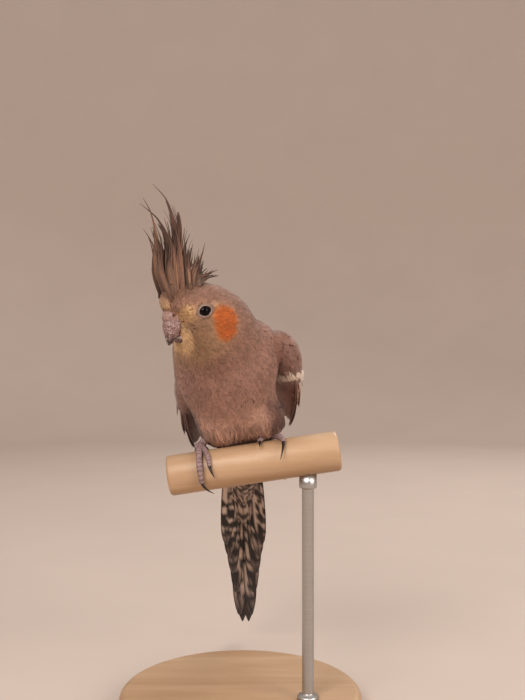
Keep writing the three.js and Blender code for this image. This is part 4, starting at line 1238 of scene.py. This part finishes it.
wing_finish = feather_finish("wing_feather", sheen=0.1, roughness=0.62, barbs=0.3, frequency=70.0)
wing_down = feather_finish("wing_covert", sheen=0.2, barbs=0.2)
for side, spec in WINGS.items():
    axes = wing_axes(spec)
    masses = wing_mass(axes)
    pad_grid = pad_skin(axes, masses)
    pad_points, pad_faces = loft(pad_grid)
    pad = make_piece(f"wing_skin_{side}", pad_points, pad_faces, down, "wing", ["wing_" + side])
    give_tint(pad, wing_markings(spec, axes, pad_points))
    give_map(pad, "OFBake", grid_places(*pad_grid.shape[:2]))
    draw = np.random.default_rng(spec["seed"])
    for row in WING_ROWS:
        solid, path = wing_row(axes, row, draw)
        place = solid[2]
        # A row that the wing lists in its own tones takes that painted light or painted shade in place of
        # the row's tone.
        if row["tone"] is None:
            tone = wing_markings(spec, axes, path[:, 8])[:, None]
        else:
            tone = np.array(spec["light_and_shade_tones"].get(row["name"], row["tone"]), float)[None, None]
        edge = ramp(0.7, 1.0, np.abs(place[..., 0]))[..., None]
        shaft = np.exp(-((place[..., 0] / 0.1) ** 2))[..., None]
        uneven = 1 + 0.05 * draw.normal(size=(row["count"], 1, 1))
        lay_blades(f"wing_{row['name']}_{side}", solid, tone * (1 + 0.18 * edge - 0.3 * shaft) * uneven,
                   wing_finish, "wing")
    roots, where = scattered(pad_grid, evenly(WING_COVERTS["spacing"]), spec["seed"])
    s = (roots - axes[0]) @ axes[2] / axes[1]
    short = s < WING_COVERTS["until"]
    roots, where, s = roots[short], where[short], s[short]
    long = curve(WING_COVERTS["long"], s)
    colors = wing_markings(spec, axes, roots)
    lay_coat(f"wing_coverts_{side}", masses, roots, where, all_along(axes[2]), long, 0.28 * long + 0.2,
             colors, wing_down, "wing", spec["seed"] + 5, base_level=-0.6)
    if spec["band"]:
        in_band = np.abs(trunk_part(roots)[:, 2] - WING_BAND) < TUFT["within"]
        white = np.repeat(np.flatnonzero((colors[:, 0] > 190) & in_band & (s < 0.4)), TUFT["each"])
        spots = roots[white] + draw.normal(size=(len(white), 3)) * TUFT["apart"]
        tuft_way = unit(axes[2] - 0.6 * axes[3] + 0.1 * axes[4])
        lay_coat(f"wing_tuft_{side}", masses, spots, where[white], all_along(tuft_way),
                 draw.uniform(*TUFT["long"], len(white)), TUFT["half"], TUFT["tone"], wing_down, "wing", 27,
                 columns=3, base_level=-0.2, rise=1.7)

# Shoulders: soft feathers that close the hollow between the back and the top of each wing. They
# grow where the coat melts into a wing's mass, and carry the body's own markings, a little darker.
SHOULDER = {"above": 43, "spacing": 0.8, "long": 6.5, "half": 1.9, "shade": (0.86, 0.84, 0.82)}
shoulder_masses = BODY + [mass for spec in WINGS.values() for mass in wing_mass(wing_axes(spec))]
roots, where = scattered(skin_grid, evenly(SHOULDER["spacing"]), 51)
near = trunk_part(roots)[:, 2] > SHOULDER["above"] - 6
roots, where = settled(shoulder_masses, roots[near], -COAT, 5), where[near]
hollow = (trunk_part(roots)[:, 2] > SHOULDER["above"]) & (-COAT - outside(BODY, roots) < -0.35)
roots, where = roots[hollow], where[hollow]
colors = markings(roots) * SHOULDER["shade"]
lay_coat("shoulder_feathers", shoulder_masses, roots, where, lie_of_coat, SHOULDER["long"],
         SHOULDER["half"], colors, coat_finish, "coat", 52, columns=7, base_level=-COAT - 0.9)

# Tail: twelve long feathers in a stack, the middle pair longest and on top. The others are mottled
# black, grey and white below. Soft coverts lie over their roots, above and below.
TAIL = {"root": (0.5, 27, -1.6), "slope": math.radians(52)}
TAIL_LENGTHS = (158, 150, 126, 106, 90, 78)
TAIL_BARS = 4.2
TAIL_TOP = (94, 68, 60)
TAIL_PALE = (196, 174, 160)
TAIL_BLACK = (34, 25, 23)
tail_way = np.array([0, math.cos(TAIL["slope"]), -math.sin(TAIL["slope"])])
tail_up = np.array([0, math.sin(TAIL["slope"]), math.cos(TAIL["slope"])])
tail_side = np.array([1.0, 0, 0])


def in_tail(x, y, z):
    """Places given as left, along and up from the tail's root, in its own slope."""
    x, y, z = (np.asarray(value, float)[..., None] for value in (x, y, z))
    return PERCH_TOP + np.array(TAIL["root"]) + tail_side * x + tail_way * y + tail_up * z


def tail_rows():
    """The tail's feathers: middle line, half-width, tilt, height and how it drops, one row each."""
    rows = []
    for i, length in enumerate(TAIL_LENGTHS):
        for side in (1, -1):
            rows.append({"x": side * (1.7 + 1.45 * i), "from": 8, "to": length, "height": 2.2 - 0.95 * i,
                         "drop": 1.5, "half": 4.6 - 0.12 * i, "tilt": side * math.radians(7 + 2 * i),
                         "tip": 0.25 if i else 0.1, "kind": "flight" if i else "middle"})
    return rows


def covert_rows():
    """Three tiers of coverts over the tail's root, and as many below it."""
    rows = []
    for tier, (reach, height, drop, count) in enumerate(((46, 6.0, 3.6, 5), (33, 6.6, 2.8, 5),
                                                         (21, 6.9, 1.4, 5))):
        for k in range(count):
            across = 2 * k / (count - 1) - 1
            rows.append({"x": across * 6.4, "from": -4, "to": reach - 5 * abs(across), "half": 3.8,
                         "height": height - 1.6 * across**2, "drop": drop,
                         "tilt": across * math.radians(26), "tip": 0.5, "kind": "above"})
            rows.append({"x": across * 6.0, "from": -4, "to": reach * 1.35 - 7 * abs(across), "half": 3.9,
                         "height": -height + 1.4 * across**2, "drop": -drop,
                         "tilt": -across * math.radians(22), "tip": 0.5, "kind": "below"})
    return rows


def tail_blades(rows, draw):
    count, steps = len(rows), 26
    v = np.linspace(0, 1, steps)[None]
    take = {key: np.array([row[key] for row in rows], float)[:, None]
            for key in ("x", "from", "to", "height", "drop", "half", "tilt", "tip")}
    path = in_tail(take["x"] * (0.75 + 0.4 * v), take["from"] + (take["to"] - take["from"]) * v,
                   take["height"] - take["drop"] * v + 0.1 * draw.normal(size=(count, 1)))
    normal = (tail_up * np.cos(take["tilt"])[..., None] + tail_side * np.sin(take["tilt"])[..., None])
    under = np.array([row["kind"] == "below" for row in rows])
    normal = np.where(under[:, None, None], -normal, normal)
    shape = np.array([curve([(0, 0.4), (0.2, 0.85), (0.55, 1), (0.85, 0.85), (0.95, 0.6), (1, tip)], v[0])
                      for tip in take["tip"][:, 0]])
    half = take["half"] * shape * (1 + 0.04 * draw.normal(size=(count, 1)))
    ragged = draw.uniform(-0.6, 0.4, (count, steps, 7)) * (v[0, :, None] > 0.9)
    return blade_solids(path, np.broadcast_to(normal, path.shape), half, 0.45, ragged=ragged, sweep=1.1)


def tail_colors(rows, place, points, draw):
    """Grey-brown above; black, grey and white in uneven bars below and on the outer feathers."""
    colors = []
    for row, spot, own in zip(rows, place, points.reshape(len(rows), -1, 3)):
        v, u = spot[:, 0], spot[:, 1]
        reach = row["from"] + (row["to"] - row["from"]) * u
        wide = own * [0.4, 1, 1]
        wobble = 1.7 * rippled(wide, 5, 17) + 0.9 * rippled(wide, 2, 19)
        bars = ramp(-0.25, 0.35, np.sin((reach + wobble + 1.2 * np.abs(v)) * 2 * math.pi / TAIL_BARS))
        mottled = mixed(TAIL_BLACK, TAIL_PALE, bars * ramp(1.0, 0.8, np.abs(v)))
        tone = {"middle": np.array(TAIL_TOP) * 0.95, "above": np.array(GREY) * 0.92,
                "below": mixed(mottled, BELLY, 0.2), "flight": mottled}[row["kind"]]
        ending = ramp(0.75, 1.0, u) * (0.75 if row["kind"] in ("flight", "middle") else 0.1)
        tone = mixed(tone, np.array(TAIL_BLACK) * 1.3, ending)
        shaft = np.exp(-((v / 0.12) ** 2))[:, None]
        colors.append(tone * (1 - 0.3 * shaft) * (1 + 0.05 * draw.normal()))
    return np.array(colors)


tail_draw = np.random.default_rng(41)
for name, rows, stands_for in (("tail_flight", tail_rows(), ["tail"]), ("tail_coverts", covert_rows(), ())):
    solid = tail_blades(rows, tail_draw)
    colors = tail_colors(rows, solid[2], solid[0], tail_draw)
    lay_blades(name, solid, colors, wing_finish, "tail", stands_for)

# Legs and feet: bare grey-mauve skin in rows of scales. Two toes go forward and two back round the
# perch, and each ends in a thin black claw.
FEET = {
    "right": {"at": (-18.6, -4), "shin": (-9.5, 5, 13), "toes": (
        {"to": (-14.3, 76), "claw": (-12.4, 101), "thick": 1.35},
        {"to": (-19.2, 114), "claw": (-14.2, 141), "thick": 1.5},
        {"to": (-14.8, -84), "claw": (-13.6, -114), "thick": 1.3},
        {"to": (-22.5, -106), "claw": (-23, -136), "thick": 1.4})},
    "left": {"at": (15.6, -22), "shin": (14, 9, 16), "toes": (
        {"to": (11.6, 26), "claw": (11.2, 50), "thick": 1.35},
        {"to": (23.2, 40), "claw": (20.4, 84), "thick": 1.45},
        {"to": (12.6, -96), "claw": (11.6, -126), "thick": 1.3},
        {"to": (20.6, -118), "claw": (21.4, -148), "thick": 1.4})},
}
FOOT_SKIN = (154, 129, 126)
FOOT_DARK = (88, 66, 68)
TOE_GAP = 0.3
SCUTES = {"toe": 12, "shin": 8, "sole": 3}
CLAW = {"pale": (52, 36, 33), "dark": (12, 7, 6), "own": (24, 15, 13)}


def foot_finish():
    material, tree, shader, own, place = tinted_finish("foot_skin", Roughness=0.62, Specular_IOR_Level=0.35)
    scale = node(tree, "ShaderNodeTexVoronoi", {"Vector": place, "Scale": 1300.0}).outputs[0]
    colored(tree, shader, flecked(tree, own, scale, (0.35, 0.75, 0.0, 0.5), FOOT_DARK))
    bumped(tree, shader, scale, 0.5, 0.0003)
    return material


def toe_rings(foot, toe):
    """A toe laid round the perch from the ball of the foot, with its pads and its rows of scales."""
    steps = 120
    v = np.linspace(0, 1, steps)
    spread = 1 - (1 - v) ** 2
    thick = toe["thick"]
    path = round_perch(foot["at"][0] + (toe["to"][0] - foot["at"][0]) * spread,
                       foot["at"][1] + (toe["to"][1] - foot["at"][1]) * v,
                       np.full(steps, PERCH["radius"] + TOE_GAP + thick))
    pads = 1 + 0.07 * np.cos(v * 6 * math.pi)
    scutes = 1 + 0.06 * (1 - (v * SCUTES["toe"]) % 1)
    size = thick * pads * scutes * (1 - 0.24 * v**2) * curve([(0, 1), (0.96, 1), (1, 0.6)], v)
    return limb_rings(path, size, size, PERCH_WAY, 20)


def scute_tint(rings, count):
    """Pale scales with a dark groove between them, along a toe or a shin."""
    along = np.linspace(0, 1, len(rings))[:, None]
    phase = (along * count + 0.25 * rippled(rings, 2.5, 81)) % 1
    groove = 0.75 * ramp(0.6, 0.95, phase) + 0.25 * ramp(-0.2, 0.8, rippled(rings, 1.2, 83))
    return mixed(FOOT_SKIN, FOOT_DARK, np.append(groove, [0, 0]))


def claw_rings(toe):
    """A claw that curves round the perch, and sideways only towards its tip."""
    v = np.linspace(0, 1, 34)
    (d0, a0), (d1, a1) = toe["to"], toe["claw"]
    radius = PERCH["radius"] + TOE_GAP + toe["thick"] * 0.95 + 2.2 * v**2 + 0.7 * np.sin(v * math.pi)
    first = a0 - math.copysign(3, a0)
    path = round_perch(d0 + (d1 - d0) * v**1.7, first + (a1 - first) * v, radius)
    size = 1 - v**1.4
    return limb_rings(path, 0.62 * size + 0.1, 0.75 * size + 0.1, PERCH_WAY, 16)


def shin_rings(foot):
    """A shin from the ball of the foot up into the belly's feathers."""
    distance, angle = foot["at"]
    ankle = round_perch(distance, angle, PERCH["radius"] + TOE_GAP + 1.6)
    top = in_trunk(foot["shin"])
    v = np.linspace(0, 1, 40)
    path = ankle + (top - ankle) * v[:, None]
    size = (1.9 + 0.5 * v) * (1 + 0.05 * (1 - (v * SCUTES["shin"]) % 1))
    return limb_rings(path, size, size, (0, -1, 0), 20)


def sole_rings(foot):
    """The ball of a foot, where its toes meet on top of the perch."""
    centre = round_perch(*foot["at"], PERCH["radius"] + TOE_GAP + 1.9)
    return centre + ball_rings(20, 28, 0.05) * [2.7, 2.7, 2.3]


foot_skin = foot_finish()
claw_horn = horn_finish("claw_horn", CLAW["pale"], CLAW["dark"], 900.0, roughness=0.4, strength=0.1)
for side, foot in FEET.items():
    parts = {"sole": sole_rings(foot), "shin": shin_rings(foot)}
    parts.update({f"toe_{i + 1}": toe_rings(foot, toe) for i, toe in enumerate(foot["toes"])})
    for name, rings in parts.items():
        points, faces = loft(rings)
        thing = make_piece(f"foot_{side}_{name}", points, faces, foot_skin, "foot",
                           ["foot_" + side] if name == "sole" else ())
        give_tint(thing, scute_tint(rings, SCUTES[name.split("_")[0]]))
    for i, toe in enumerate(foot["toes"]):
        points, faces = loft(claw_rings(toe))
        claw = make_piece(f"claw_{side}_{i + 1}_horn", points, faces, claw_horn, "claw",
                          [f"claw_{side}_{i + 1}"])
        give_tint(claw, CLAW["own"])

# Floor and light: a plain pale floor that rises behind into a plain wall, one large soft light high
# in front, a weaker one on each side, and a camera level with the bird's breast.
FLOOR_TONE = (0.54, 0.45, 0.395)
CAMERA = {"ahead": 450, "right": 11.25, "up": 47.5, "lens": 900 / 700 * 36}


def floor_bowl():
    """A wide round floor that curves up all round into a low wall."""
    flat, round_by, top, sides = 1350, 550, 1500, 96
    bend = np.linspace(0, math.pi / 2, 20)[1:]
    profile = [(20, 0), (flat, 0), *zip(flat + round_by * np.sin(bend), round_by * (1 - np.cos(bend))),
               (flat + round_by, top)]
    rings = lathe(profile, sides)
    middle = [(rings[..., 0].size, (k + 1) % sides, k) for k in range(sides)]
    return np.append(rings, (0, 0, 0)).reshape(-1, 3), ring_quads(len(profile), sides).tolist() + middle


floor_mesh = bpy.data.meshes.new("studio_floor")
floor_points, floor_faces = floor_bowl()
floor_mesh.from_pydata((floor_points * MM).tolist(), [], floor_faces)
for polygon in floor_mesh.polygons:
    polygon.use_smooth = True
floor = placed("studio_floor", floor_mesh)
floor_finish, floor_tree, floor_shader = new_finish("pale_floor", Roughness=0.9, Specular_IOR_Level=0.1)
floor_place = node(floor_tree, "ShaderNodeTexCoord").outputs["Object"]
floor_noise = node(floor_tree, "ShaderNodeTexNoise", {"Vector": floor_place, "Scale": 9.0, "Detail": 5.0})
floor_share = stretched(floor_tree, floor_noise.outputs[0], 0.35, 0.65)
floor_color = blended(floor_tree, floor_share, tuple(0.97 * c for c in FLOOR_TONE), FLOOR_TONE)
colored(floor_tree, floor_shader, floor_color)
floor_mesh.materials.append(floor_finish)


def soft_light(name, place, size, power, tone, aim=(0, 0, 0.17)):
    light = bpy.data.lights.new(name, "AREA")
    light.shape = "DISK"
    light.size, light.energy, light.color = size, power, tone
    lamp = placed(name, light)
    lamp.location = place
    away = np.array(place) - np.array(aim)
    lamp.rotation_euler = (math.acos(away[2] / np.linalg.norm(away)), 0,
                           math.atan2(away[1], away[0]) + math.pi / 2)


soft_light("key", (-0.5, -1.1, 0.95), 0.8, 15.5, (1.0, 0.96, 0.92))
soft_light("fill", (1.1, -0.8, 0.7), 0.9, 12.5, (1.0, 0.95, 0.9))
soft_light("rim", (0.5, 0.9, 1.0), 0.7, 6, (1.0, 0.97, 0.94))

world = bpy.data.worlds.new("soft_room")
bpy.context.scene.world = world
world.use_nodes = True
backdrop = world.node_tree.nodes["Background"].inputs
backdrop["Color"].default_value = (1.0, 0.95, 0.9, 1)
backdrop["Strength"].default_value = 0.65

camera_data = bpy.data.cameras.new("camera")
camera_data.lens, camera_data.sensor_width = CAMERA["lens"], 36
camera_data.sensor_fit = "AUTO"
camera_data.clip_start = 0.01
camera = placed("camera", camera_data)
camera.location = (PERCH_TOP + [CAMERA["right"], -CAMERA["ahead"], CAMERA["up"]]) * MM
camera.rotation_euler = (math.pi / 2, 0, 0)
bpy.context.scene.camera = camera
bpy.context.scene.view_settings.view_transform = "Standard"
